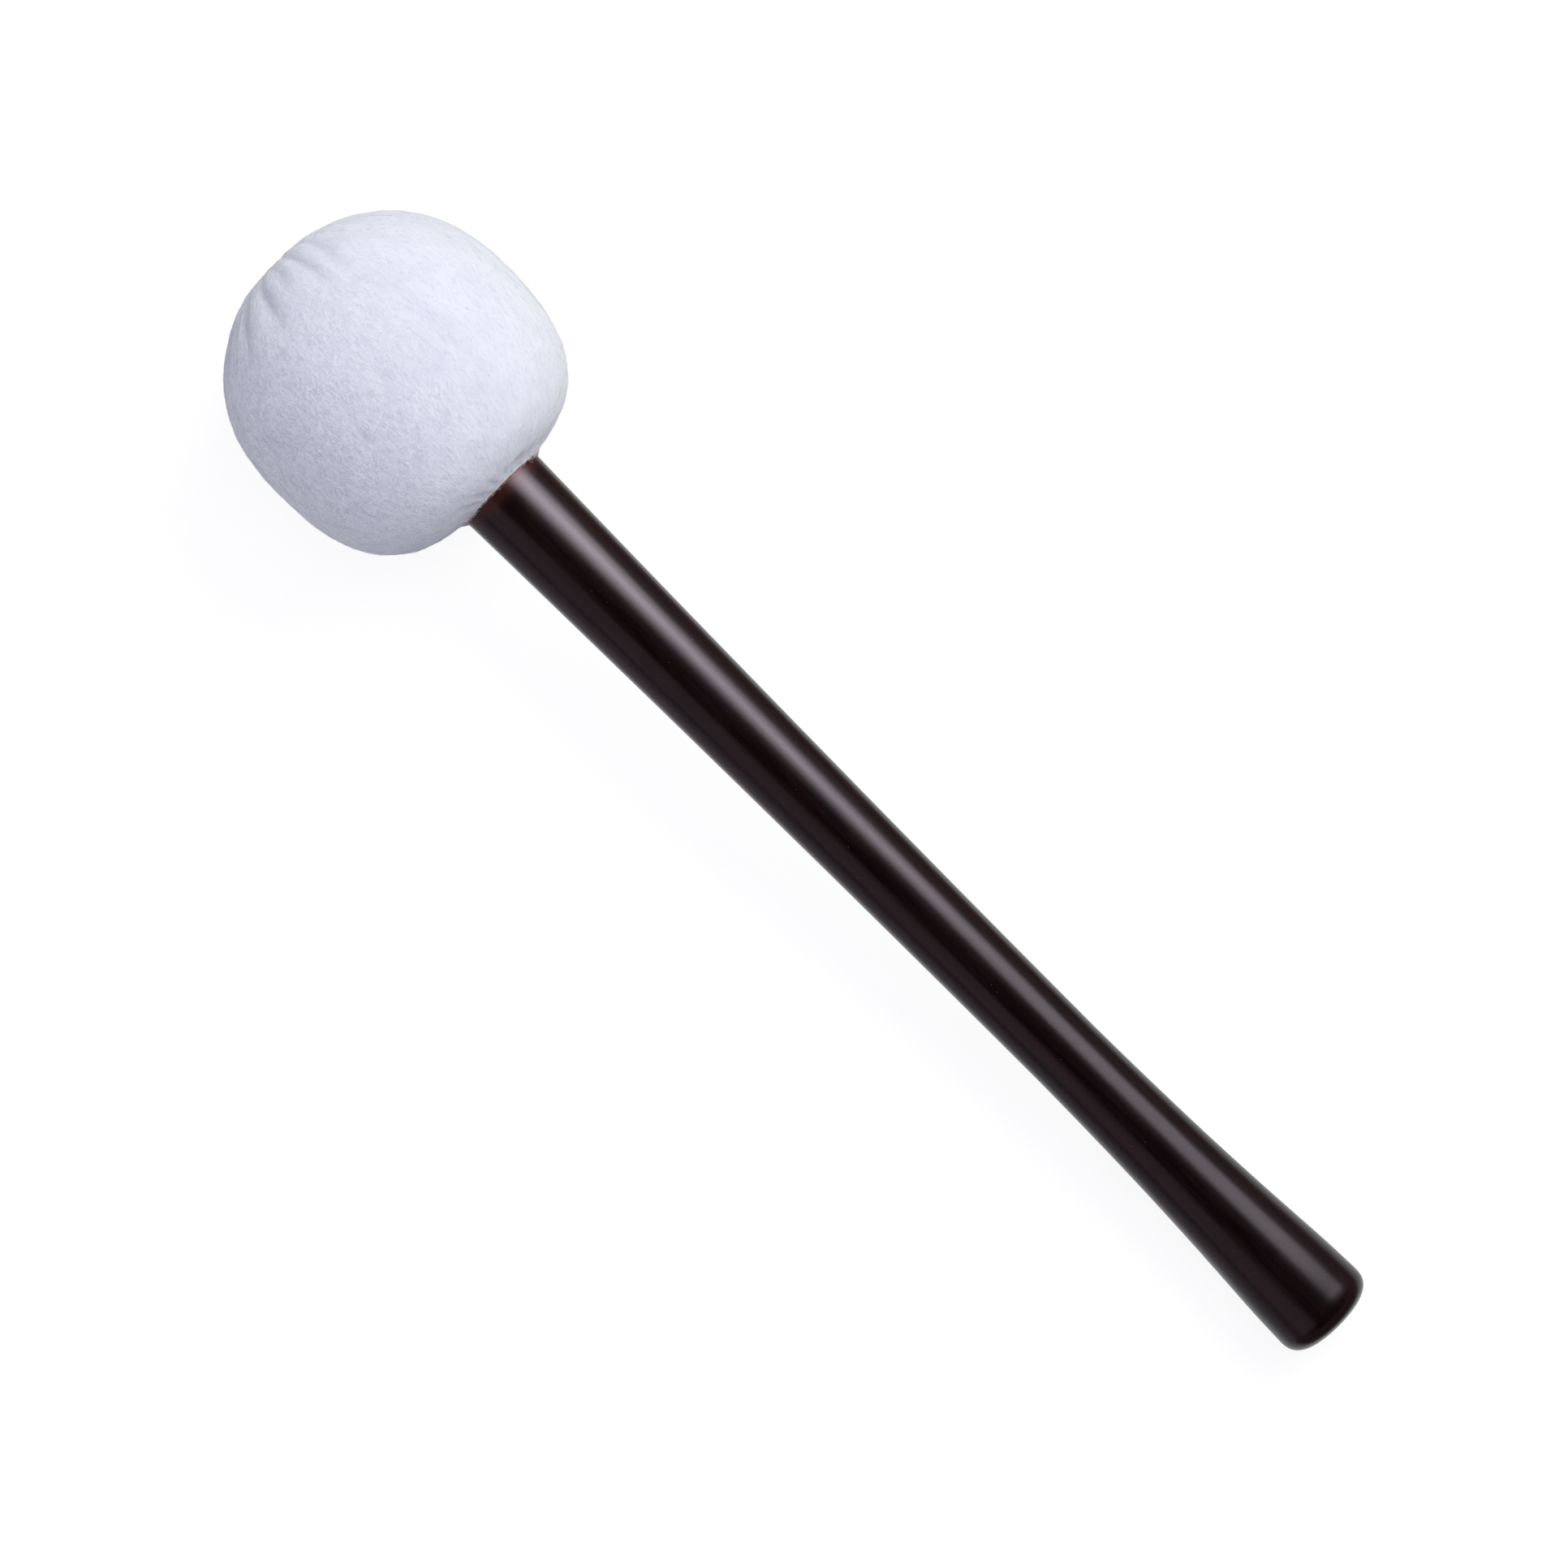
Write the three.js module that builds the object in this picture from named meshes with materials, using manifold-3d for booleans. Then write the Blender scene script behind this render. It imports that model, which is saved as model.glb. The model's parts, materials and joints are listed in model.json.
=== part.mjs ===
// Bass drum mallet: a turned, lacquered handle with a padded head under a gathered fleece cover.
// Millimetres, +Z up. The mallet lies on its head and its butt, with its axis close to the X axis.
// "Along" is the distance from the handle's shoulder: positive to the butt, negative into the head.

import * as THREE from 'three';
import { mergeVertices } from 'three/addons/utils/BufferGeometryUtils.js';
import Module from 'manifold-3d';

const wasm = await Module();
wasm.setup();

// Overall sizes
const handleLength = 320.1; // shoulder to butt
const headRadius = 44; // at the head's widest ring
const crownHeight = 44.2; // widest ring to crown, before the gather draws it in
const neckHeight = 42.2; // widest ring to shoulder

// Gap between pieces that touch
const clearance = 0.3;

// Handle
const neckRadius = 13.2;
const waistRadius = 10.6;
const waistDistance = 217.5; // shoulder to the slimmest place
const neckTaperPower = 1.8;
const buttRadius = 14.25;
const buttRoundLength = 7.7;
const buttRoundPower = 2.75;
const buttFlatRadius = 3.5;
const flareLengthShares = [0, 0.185, 0.416, 0.647, 0.879, 1];
const flareGrowthShares = [0, 0.07, 0.23, 0.51, 0.88, 1];
const shoulderEdge = 0.35;

// Tenon in the head, and the pull left between its end and the washer
const tenonRadius = 8;
const tenonChamfer = 1;
const washerPull = 0.6;

// Head: its outline is two half superellipses, one each side of the widest ring
const crownPower = 2.2;
const neckPower = 2.6;
const neckBulge = 1; // the neck half would close this far past the shoulder
const lipWidth = 1.3; // fleece that stands proud round the shoulder's edge
const gatherDepth = 3.6; // dimple where the crown is gathered
const gatherRadius = 11;
const crownHoleRadius = 2.2;
const coverThickness = 2.4;
const restDepth = 0.5; // the fleece is pressed flat this deep where it lies on the floor

// Crown pleats: each has its own depth, and stands off even spacing by a share of the spacing
const pleatDepth = 1.6;
const firstPleat = THREE.MathUtils.degToRad(-10);
const pleatFullTurn = THREE.MathUtils.degToRad(24);
const pleatEndTurn = THREE.MathUtils.degToRad(54);
const pleatDepthShares = [
  1, 0.35, 0.9, 0.5, 0.75, 1, 0.45, 0.8, 0.6, 1, 0.5, 0.85, 0.7,
  0.4, 1, 0.6, 0.9, 0.45, 0.75, 1, 0.5, 0.8, 0.55, 0.7, 0.95,
];
const pleatShiftShares = [
  0, 0, -0.12, 0.23, 0.05, -0.1, 0.12, 0, -0.15, 0.1, 0.05, -0.08, 0.14,
  0, -0.12, 0.08, 0.15, -0.05, 0, 0.12, -0.1, 0.06, 0, -0.14, 0.1,
];
const pleatCount = pleatDepthShares.length;

// Seam down the cover, on the side and underneath
const seamAngle = THREE.MathUtils.degToRad(-130);
const seamChannelDepth = 0.8;
const seamStitches = 24;
const seamSwing = 1;
const seamStartRadius = 12;
const seamEndRadius = 19;
const seamThreadRadius = 0.25;

// Gathering threads
const gatherThreadRadius = 0.35;
const gatherPitch = 1.2;
const neckLoops = 3;
const crownLoops = 2;

// Core, felt and padding
const coreRadius = 20;
const coreChamfer = 1.5;
const discEdge = 2.4; // felt disc's thickness at its rim
const paddingThickness = 6;
const paddingEdge = 2.5; // padding left over the corners of the wraps
const denseTurns = 2;
const softTurns = 1;
const denseShare = 0.5; // of the wound felt

// Washer and screw
const washerRadius = 10.5;
const washerThickness = 1.5;
const screwRadius = 2.5;
const screwRootRadius = 1.9;
const screwLength = 38; // under the head
const screwPitch = 2.4;
const screwPlain = 6; // length with no thread
const screwHeadRadius = 4.6;
const screwHeadHeight = 3;
const screwSlotWidth = 1.2;
const screwSlotDepth = 1.4;

// Facets
const handleSides = 48;
const innerSides = 36;
const screwSides = 16;
const loopSteps = 24;
const loopSides = 6;
const stitchSteps = 8;
const stitchSides = 5;
const taperSteps = 8;
const flareSteps = 9;
const roundSteps = 6;
const crownSteps = 7;
const neckSteps = 5;
const liningSteps = 4; // each side of the widest ring
const samples = 200; // points that a length or a gap is measured on

// Sizes that follow
const hemRadius = tenonRadius + 2 * clearance + 2 * gatherThreadRadius;
const liningInset = coverThickness + clearance; // outside of what the cover holds
const wrapLimit = headRadius - liningInset - paddingThickness - clearance;
const woundSpan = wrapLimit - coreRadius - 2 * clearance;
const denseOuter = coreRadius + clearance + denseShare * woundSpan;
const softOuter = wrapLimit;
const quarter = Math.PI / 2;

// Materials
const finish = (color, roughness, metalness = 0) =>
  new THREE.MeshStandardMaterial({ color, roughness, metalness });
const lacquer = finish(0x1c1012, 0.35);
const coreWood = finish(0xb98f5e, 0.7);
const steel = finish(0xa8abae, 0.35, 1);
const denseFelt = finish(0xcfc9ba, 0.95);
const softFelt = finish(0xe2ddd0, 0.95);
const padding = finish(0xf0f0f0, 1);
const fleece = finish(0xdfe2ee, 1);
const thread = finish(0xd5d6df, 0.8);

const along = (radius, distance) => new THREE.Vector2(radius, distance);

// Drops a geometry's normals and texture places, so that its shared corners can be merged
function welded(geometry) {
  const bare = geometry.index ? geometry.toNonIndexed() : geometry.clone();
  bare.deleteAttribute('normal');
  bare.deleteAttribute('uv');
  const merged = mergeVertices(bare);
  const corners = merged.index.array;
  const kept = [];
  for (let i = 0; i < corners.length; i += 3) {
    const [a, b, c] = corners.slice(i, i + 3);
    if (a !== b && b !== c && c !== a) kept.push(a, b, c);
  }
  merged.setIndex(kept);
  merged.computeVertexNormals();
  return merged;
}

// A piece turned about the X axis from an outline of (radius, along) points
function turned(outline, sides) {
  let area = 0;
  outline.forEach((point, i) => {
    const next = outline[(i + 1) % outline.length];
    area += point.x * next.y - next.x * point.y;
  });
  const closed = area > 0 ? [...outline] : [...outline].reverse();
  const onAxis = closed.filter((point) => point.x === 0).length > 0;
  if (!onAxis) closed.push(closed[0].clone());
  while (onAxis && closed[0].x !== 0) closed.push(closed.shift());
  while (onAxis && closed[closed.length - 1].x !== 0) closed.unshift(closed.pop());
  return welded(new THREE.LatheGeometry(closed, sides).rotateZ(-quarter));
}

function toSolid(geometry) {
  const merged = welded(geometry);
  return new wasm.Manifold(new wasm.Mesh({
    numProp: 3,
    vertProperties: new Float32Array(merged.attributes.position.array),
    triVerts: new Uint32Array(merged.index.array),
  }));
}

function cut(geometry, tool) {
  const mesh = toSolid(geometry).subtract(toSolid(tool)).getMesh();
  const result = new THREE.BufferGeometry();
  result.setAttribute('position', new THREE.BufferAttribute(mesh.vertProperties, 3));
  result.setIndex(new THREE.BufferAttribute(mesh.triVerts, 1));
  result.computeVertexNormals();
  return result;
}

// A round thread along a curve
function tube(curve, radius, sides, steps) {
  const section = new THREE.Shape();
  for (let i = 0; i < sides; i += 1) {
    const turn = 2 * Math.PI * i / sides;
    const corner = [radius * Math.cos(turn), radius * Math.sin(turn)];
    if (i === 0) section.moveTo(...corner);
    else section.lineTo(...corner);
  }
  section.closePath();
  return welded(new THREE.ExtrudeGeometry(section, { steps, extrudePath: curve }));
}

// The point at this radius, distance along and angle round the axis, from +Z towards -Y
function aroundAxis(radius, distance, angle) {
  return new THREE.Vector3(distance, -radius * Math.sin(angle), radius * Math.cos(angle));
}

// A point of the head's outline, moved inwards by inset. Turn is 0 at the crown, a quarter turn at
// the widest ring and a half turn at the neck.
function headPoint(turn, inset) {
  const crownSide = turn < quarter;
  const power = 2 / (crownSide ? crownPower : neckPower);
  const height = (crownSide ? crownHeight : neckHeight + neckBulge) - inset;
  const radius = (headRadius - inset) * Math.sin(turn) ** power;
  const rise = height * Math.abs(Math.cos(turn)) ** power;
  const dimple = gatherDepth * Math.max(0, 1 - radius / gatherRadius) ** 2;
  return along(radius, crownSide ? dimple - neckHeight - rise : rise - neckHeight);
}

function crownTurnAt(radius, inset) {
  return Math.asin((radius / (headRadius - inset)) ** (crownPower / 2));
}

function neckTurnAt(radius, inset) {
  return Math.PI - Math.asin((radius / (headRadius - inset)) ** (neckPower / 2));
}

// Even turns from one to another, with both ends
function turnsBetween(from, to, steps) {
  const turns = [];
  for (let i = 0; i <= steps; i += 1) turns.push(from + (to - from) * i / steps);
  return turns;
}

const headArc = (from, to, steps, inset) =>
  turnsBetween(from, to, steps).map((turn) => headPoint(turn, inset));

// The cover's inside is faceted at these turns, and so is the outside of all that it holds
const liningTurns = [
  ...turnsBetween(crownTurnAt(crownHoleRadius, coverThickness), quarter, liningSteps),
  ...turnsBetween(quarter, neckTurnAt(hemRadius, coverThickness), liningSteps).slice(1),
];
const held = liningTurns.map((turn) => headPoint(turn, liningInset));
const crownHeld = held.slice(0, liningSteps + 1);
const neckHeld = held.slice(liningSteps).reverse();

// Where what the cover holds ends at this radius, on the crown's or the neck's side
function heldEnd(side, radius) {
  const next = Math.max(1, side.findIndex((point) => point.x > radius));
  const [inner, outer] = [side[next - 1], side[next]];
  const share = Math.max(0, (radius - inner.x) / (outer.x - inner.x));
  return along(radius, inner.y + (outer.y - inner.y) * share);
}

const heldWithin = (side, radius) => side.filter((point) => point.x < radius);

function handleOutline() {
  const points = [];
  for (let i = 1; i <= taperSteps; i += 1) {
    const distance = waistDistance * i / taperSteps;
    const left = (1 - distance / waistDistance) ** neckTaperPower;
    points.push(along(waistRadius + (neckRadius - waistRadius) * left, distance));
  }
  const flareLength = handleLength - buttRoundLength - waistDistance;
  const flare = new THREE.SplineCurve(flareLengthShares.map((share, i) => along(
    waistRadius + (buttRadius - waistRadius) * flareGrowthShares[i],
    waistDistance + flareLength * share,
  )));
  points.push(...flare.getPoints(flareSteps).slice(1));
  for (let i = 1; i < roundSteps; i += 1) {
    const turn = quarter * i / roundSteps;
    points.push(along(
      buttRadius * Math.cos(turn) ** (2 / buttRoundPower),
      handleLength - buttRoundLength * (1 - Math.sin(turn) ** (2 / buttRoundPower)),
    ));
  }
  points.push(along(buttFlatRadius, handleLength));
  return points;
}

// Where the core ends at each side, behind its felt disc
const coreCrownEnd = heldEnd(crownHeld, coreRadius).y + discEdge + clearance;
const coreNeckEnd = heldEnd(neckHeld, coreRadius).y - discEdge - clearance;
const boreRadius = tenonRadius + clearance;
const counterboreRadius = washerRadius + clearance;
const counterboreFloor = coreCrownEnd + screwHeadHeight + washerThickness + 3 * clearance;
const washerFace = counterboreFloor - clearance;
const screwSeat = washerFace - washerThickness - clearance;
const tenonEnd = counterboreFloor + washerPull;
const screwTip = screwSeat + screwLength;
const pilotRadius = screwRadius + clearance;

function handle() {
  return turned([
    along(0, screwTip + clearance),
    along(pilotRadius, screwTip + clearance),
    along(pilotRadius, tenonEnd),
    along(tenonRadius - tenonChamfer, tenonEnd),
    along(tenonRadius, tenonEnd + tenonChamfer),
    along(tenonRadius, 0),
    along(neckRadius - shoulderEdge, 0),
    along(neckRadius, shoulderEdge),
    ...handleOutline(),
    along(0, handleLength),
  ], handleSides);
}

function headCore() {
  return turned([
    along(boreRadius, coreNeckEnd),
    along(coreRadius - coreChamfer, coreNeckEnd),
    along(coreRadius, coreNeckEnd - coreChamfer),
    along(coreRadius, coreCrownEnd + coreChamfer),
    along(coreRadius - coreChamfer, coreCrownEnd),
    along(counterboreRadius, coreCrownEnd),
    along(counterboreRadius, counterboreFloor),
    along(boreRadius, counterboreFloor),
  ], innerSides);
}

function coreWasher() {
  return turned([
    along(pilotRadius, washerFace),
    along(washerRadius, washerFace),
    along(washerRadius, washerFace - washerThickness),
    along(pilotRadius, washerFace - washerThickness),
  ], innerSides);
}

function coreScrew() {
  const top = screwSeat - screwHeadHeight;
  const outline = [
    along(0, top),
    along(screwHeadRadius / 2, top),
    along(screwHeadRadius, screwSeat - screwHeadHeight / 2),
    along(screwHeadRadius, screwSeat),
    along(screwRadius, screwSeat),
    along(screwRadius, screwSeat + screwPlain),
  ];
  const threads = Math.floor((screwLength - screwPlain - 2 * screwRadius) / screwPitch);
  for (let i = 0; i < threads; i += 1) {
    const root = screwSeat + screwPlain + screwPitch * (i + 1 / 2);
    outline.push(along(screwRootRadius, root));
    outline.push(along(screwRadius, root + screwPitch / 2));
  }
  outline.push(along(screwRootRadius, screwTip - 2 * screwRadius + screwPitch / 2));
  outline.push(along(0, screwTip));
  const slot = new THREE.BoxGeometry(2 * screwSlotDepth, screwSlotWidth, 3 * screwHeadRadius);
  slot.translate(top, 0, 0);
  return cut(turned(outline, screwSides), slot);
}

// Distance along the axis that a wrap may reach on one side, under the padding
function wrapReach(turnAt, outerRadius) {
  const inset = liningInset + paddingEdge + clearance;
  return headPoint(turnAt(outerRadius + clearance, inset), inset).y;
}

const denseCrownEnd = Math.max(wrapReach(crownTurnAt, denseOuter), coreCrownEnd);
const denseNeckEnd = Math.min(wrapReach(neckTurnAt, denseOuter), coreNeckEnd);
const softCrownEnd = wrapReach(crownTurnAt, softOuter);
const softNeckEnd = wrapReach(neckTurnAt, softOuter);

// A strip of felt wound in a spiral between two radii
function feltWrap(innerRadius, outerRadius, turns, crownEnd, neckEnd) {
  const thickness = (outerRadius - innerRadius - turns * clearance) / (turns + 1);
  const pitch = thickness + clearance;
  const steps = turns * innerSides;
  const inner = [];
  const outer = [];
  for (let i = 0; i <= steps; i += 1) {
    const angle = 2 * Math.PI * i / innerSides;
    const radius = innerRadius + pitch * i / innerSides;
    inner.push(new THREE.Vector2(radius * Math.cos(angle), radius * Math.sin(angle)));
    outer.push(inner[i].clone().setLength(radius + thickness));
  }
  const strip = new THREE.Shape([...outer, ...inner.reverse()]);
  const options = { depth: neckEnd - crownEnd, bevelEnabled: false };
  return welded(new THREE.ExtrudeGeometry(strip, options).rotateY(quarter).translate(crownEnd, 0, 0));
}

function crownDisc() {
  return turned([
    along(0, crownHeld[0].y),
    ...heldWithin(crownHeld, coreRadius),
    heldEnd(crownHeld, coreRadius),
    along(coreRadius, coreCrownEnd - clearance),
    along(0, coreCrownEnd - clearance),
  ], innerSides);
}

function neckDisc() {
  return turned([
    heldEnd(neckHeld, hemRadius),
    ...heldWithin(neckHeld, coreRadius).filter((point) => point.x > hemRadius),
    heldEnd(neckHeld, coreRadius),
    along(coreRadius, coreNeckEnd + clearance),
    along(hemRadius, coreNeckEnd + clearance),
  ], innerSides);
}

function headPadding() {
  const first = coreRadius + clearance;
  const second = denseOuter + clearance;
  const third = softOuter + clearance;
  return turned([
    heldEnd(crownHeld, first),
    ...held.filter((point) => point.x > first),
    heldEnd(neckHeld, first),
    along(first, denseNeckEnd + clearance),
    along(second, denseNeckEnd + clearance),
    along(second, softNeckEnd + clearance),
    along(third, softNeckEnd + clearance),
    along(third, softCrownEnd - clearance),
    along(second, softCrownEnd - clearance),
    along(second, denseCrownEnd - clearance),
    along(first, denseCrownEnd - clearance),
  ], innerSides);
}

const pleatSpacing = 2 * Math.PI / pleatCount;
const pleatAngle = (i) => {
  const turnsRound = Math.floor(i / pleatCount);
  const shift = pleatShiftShares[i - turnsRound * pleatCount];
  return firstPleat + (i + shift) * pleatSpacing;
};

// The column of the cover that is nearest to the seam becomes the seam's channel
const seamPleat = Math.round((seamAngle - firstPleat) / pleatSpacing);
const seamLine = pleatAngle(seamPleat + pleatCount) - 2 * Math.PI;

// One outline of the cover, at a pleat or between two: outside from crown to neck, then inside
function coverColumn(angle, pleat, isSeam) {
  const outside = [];
  const crownStart = crownTurnAt(crownHoleRadius, 0);
  const lipTurn = neckTurnAt(neckRadius + lipWidth, 0);
  const turns = [
    ...turnsBetween(crownStart, quarter, crownSteps),
    ...turnsBetween(quarter, lipTurn, neckSteps).slice(1),
  ];
  for (const turn of turns) {
    const fade = 1 - THREE.MathUtils.smoothstep(turn, pleatFullTurn, pleatEndTurn);
    const fold = pleatDepth * pleat * fade;
    outside.push(headPoint(turn, isSeam ? Math.max(fold, seamChannelDepth) : fold));
  }
  const outline = [
    ...outside,
    along(neckRadius + clearance, -clearance),
    along(hemRadius, -clearance),
    ...liningTurns.map((turn) => headPoint(turn, coverThickness)).reverse(),
  ];
  return outline.map((point) => aroundAxis(point.x, point.y, angle));
}

// Joins closed outlines that go round the axis, each to the next, into one solid
function lofted(columns) {
  const rows = columns[0].length;
  const index = [];
  for (let i = 0; i < columns.length; i += 1) {
    const next = (i + 1) % columns.length;
    for (let j = 0; j < rows; j += 1) {
      const above = (j + 1) % rows;
      const [a, b, c, d] = [i * rows + j, i * rows + above, next * rows + above, next * rows + j];
      index.push(a, c, b, a, d, c);
    }
  }
  const geometry = new THREE.BufferGeometry().setFromPoints(columns.flat());
  geometry.setIndex(index);
  return geometry;
}

function fleeceCover(floorTool) {
  const columns = [];
  for (let i = 0; i < pleatCount; i += 1) {
    const middle = (pleatAngle(i) + pleatAngle(i + 1)) / 2;
    const isSeam = (i - seamPleat) % pleatCount === 0;
    columns.push(coverColumn(pleatAngle(i), pleatDepthShares[i], isSeam));
    columns.push(coverColumn(middle, 0, false));
  }
  return cut(lofted(columns), floorTool);
}

// A point beside an outline, this far out from it
function outFrom(place, tangent, lift) {
  return along(place.x + lift * tangent.y, place.y - lift * tangent.x);
}

// Thread wound round the tenon, behind the shoulder
class NeckWinding extends THREE.Curve {
  getPoint(share) {
    const angle = 2 * Math.PI * neckLoops * share;
    const distance = -clearance - gatherThreadRadius - gatherPitch * neckLoops * share;
    return aroundAxis(tenonRadius + clearance + gatherThreadRadius, distance, angle);
  }
}

// Thread that spirals out over the gathered crown
class CrownWinding extends THREE.Curve {
  constructor() {
    super();
    const from = crownTurnAt(crownHoleRadius + gatherThreadRadius, 0);
    const to = crownTurnAt(crownHoleRadius + gatherThreadRadius + gatherPitch * crownLoops, 0);
    this.meridian = new THREE.SplineCurve(headArc(from, to, samples, 0));
  }

  getPoint(share) {
    const [place, tangent] = [this.meridian.getPointAt(share), this.meridian.getTangentAt(share)];
    const raised = outFrom(place, tangent, clearance + gatherThreadRadius);
    return aroundAxis(raised.x, raised.y, 2 * Math.PI * crownLoops * share);
  }
}

// Thread that swings from side to side across the seam's channel, just over the cloth
class SeamStitching extends THREE.Curve {
  constructor() {
    super();
    const from = crownTurnAt(seamStartRadius, 0);
    const to = neckTurnAt(seamEndRadius, 0);
    this.meridian = new THREE.SplineCurve(headArc(from, to, samples, 0));
  }

  getPoint(share) {
    const [place, tangent] = [this.meridian.getPointAt(share), this.meridian.getTangentAt(share)];
    const swing = seamSwing * Math.sin(2 * Math.PI * seamStitches * share);
    const bankShare = Math.min(1, Math.abs(swing) / (place.x * pleatSpacing / 2));
    const lift = seamThreadRadius + clearance - seamChannelDepth * (1 - bankShare);
    const raised = outFrom(place, tangent, lift);
    return aroundAxis(raised.x, raised.y, seamLine + swing / place.x);
  }
}

// Least gap between parts of a thread that are further apart along it than a stretch
function leastGap(curve, radius, stretch) {
  const points = curve.getSpacedPoints(samples);
  const step = curve.getLength() / samples;
  let least = Infinity;
  points.forEach((point, i) => {
    const first = i + Math.ceil(stretch / step);
    for (let j = first; j < points.length; j += 1) {
      least = Math.min(least, point.distanceTo(points[j]) - 2 * radius);
    }
  });
  return least;
}

// Tilt at which the butt touches the floor and the head is pressed in by the rest depth
function restingTilt(handlePoints, headPoints) {
  const lowest = (points, tilt) => Math.min(...points.map(
    (point) => -point.y * Math.sin(tilt) - point.x * Math.cos(tilt),
  ));
  let low = 0;
  let high = Math.PI / 4;
  for (let i = 0; i < samples; i += 1) {
    const tilt = (low + high) / 2;
    const floor = lowest(handlePoints, tilt);
    if (lowest(headPoints, tilt) + restDepth < floor) low = tilt;
    else high = tilt;
  }
  return { tilt: high, floor: lowest(handlePoints, high) };
}

// Everything below the floor, as a block in the mallet's own frame
function belowFloor({ tilt, floor }) {
  const side = 4 * headRadius;
  const block = new THREE.BoxGeometry(side, side, side);
  block.translate(-neckHeight, 0, floor - side / 2);
  return block.rotateY(-tilt);
}

const rest = restingTilt(handleOutline(), headArc(0, Math.PI, samples, 0));
const neckWinding = new NeckWinding();
const crownWinding = new CrownWinding();
const seamStitching = new SeamStitching();
const gaps = {
  neck: leastGap(neckWinding, gatherThreadRadius, Math.PI * tenonRadius),
  crown: leastGap(crownWinding, gatherThreadRadius, Math.PI * crownHoleRadius),
  seam: leastGap(seamStitching, seamThreadRadius, Math.PI * seamSwing),
};
for (const [name, gap] of Object.entries(gaps)) {
  console.log(`${name} thread: least gap to itself ${gap.toFixed(2)} mm`);
}

const pieces = [
  ['handle', handle(), lacquer],
  ['head_core', headCore(), coreWood],
  ['core_washer', coreWasher(), steel],
  ['core_screw', coreScrew(), steel],
  ['dense_felt_wrap', feltWrap(
    coreRadius + clearance, denseOuter, denseTurns, denseCrownEnd, denseNeckEnd,
  ), denseFelt],
  ['soft_felt_wrap', feltWrap(
    denseOuter + clearance, softOuter, softTurns, softCrownEnd, softNeckEnd,
  ), softFelt],
  ['crown_felt_disc', crownDisc(), denseFelt],
  ['neck_felt_disc', neckDisc(), denseFelt],
  ['head_padding', headPadding(), padding],
  ['fleece_cover', fleeceCover(belowFloor(rest)), fleece],
  ['neck_gather_thread', tube(
    neckWinding, gatherThreadRadius, loopSides, neckLoops * loopSteps,
  ), thread],
  ['crown_gather_thread', tube(
    crownWinding, gatherThreadRadius, loopSides, crownLoops * loopSteps,
  ), thread],
  ['cover_seam_thread', tube(
    seamStitching, seamThreadRadius, stitchSides, seamStitches * stitchSteps,
  ), thread],
];

const mallet = new THREE.Group();
for (const [name, geometry, material] of pieces) {
  const mesh = new THREE.Mesh(geometry, material);
  mesh.name = name;
  mallet.add(mesh);
}
mallet.rotation.y = rest.tilt;

// The origin is on the floor, under the middle of the mallet's box
mallet.updateMatrixWorld(true);
const box = new THREE.Box3().setFromObject(mallet, true);
const middle = box.getCenter(new THREE.Vector3());
mallet.position.set(-middle.x, -middle.y, -box.min.z);

const part = new THREE.Group();
part.add(mallet);

export default part;
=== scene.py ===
"""A bass drum mallet: a turned, lacquered handle with a padded head under a gathered fleece cover.

Metres, +Z up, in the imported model's frame. Most pieces are worked out in the mallet's own frame:
X runs along the axis, from 0 at the handle's shoulder to the butt, and below 0 in the head.
"""

import json
import math

import bpy
import numpy as np
from mathutils import Matrix, Vector, noise


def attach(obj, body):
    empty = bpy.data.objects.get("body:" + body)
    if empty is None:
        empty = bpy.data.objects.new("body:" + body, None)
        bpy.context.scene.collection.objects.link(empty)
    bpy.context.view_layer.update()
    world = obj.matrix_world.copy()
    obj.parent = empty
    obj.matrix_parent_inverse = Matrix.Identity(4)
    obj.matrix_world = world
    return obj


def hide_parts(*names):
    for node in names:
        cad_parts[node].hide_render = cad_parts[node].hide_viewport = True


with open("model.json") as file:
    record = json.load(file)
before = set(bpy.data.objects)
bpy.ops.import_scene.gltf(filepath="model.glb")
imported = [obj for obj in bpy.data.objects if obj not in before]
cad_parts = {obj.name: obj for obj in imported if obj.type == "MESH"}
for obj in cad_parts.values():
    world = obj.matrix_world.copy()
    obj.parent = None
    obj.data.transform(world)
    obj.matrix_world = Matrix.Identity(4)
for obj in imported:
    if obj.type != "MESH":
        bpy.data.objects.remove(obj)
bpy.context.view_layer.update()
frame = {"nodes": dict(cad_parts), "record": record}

mm = 0.001
quarter = math.pi / 2
half_turn = math.pi
full_turn = 2 * math.pi

# Sizes of the mallet
handle_length = 320.1 * mm
head_radius = 44 * mm
crown_height = 44.2 * mm
neck_height = 42.2 * mm
clearance = 0.3 * mm

# Handle
neck_radius = 13.2 * mm
waist_radius = 10.6 * mm
waist_distance = 217.5 * mm
neck_taper_power = 1.8
butt_radius = 14.25 * mm
butt_round_length = 7.7 * mm
butt_round_power = 2.75
butt_flat_radius = 3.5 * mm
grip_end = handle_length - butt_round_length
flare_length_shares = [0, 0.185, 0.416, 0.647, 0.879, 1]
flare_growth_shares = [0, 0.07, 0.23, 0.51, 0.88, 1]
shoulder_edge = 0.35 * mm
tenon_radius = 8 * mm
tenon_chamfer = 1 * mm
pilot_radius = 2.8 * mm

# Head outline and gathers
crown_power = 2.2
neck_power = 2.6
neck_bulge = 1 * mm
lip_width = 1.3 * mm
gather_depth = 3.6 * mm
gather_radius = 11 * mm
crown_hole_radius = 2.2 * mm
cover_thickness = 2.4 * mm

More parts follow.
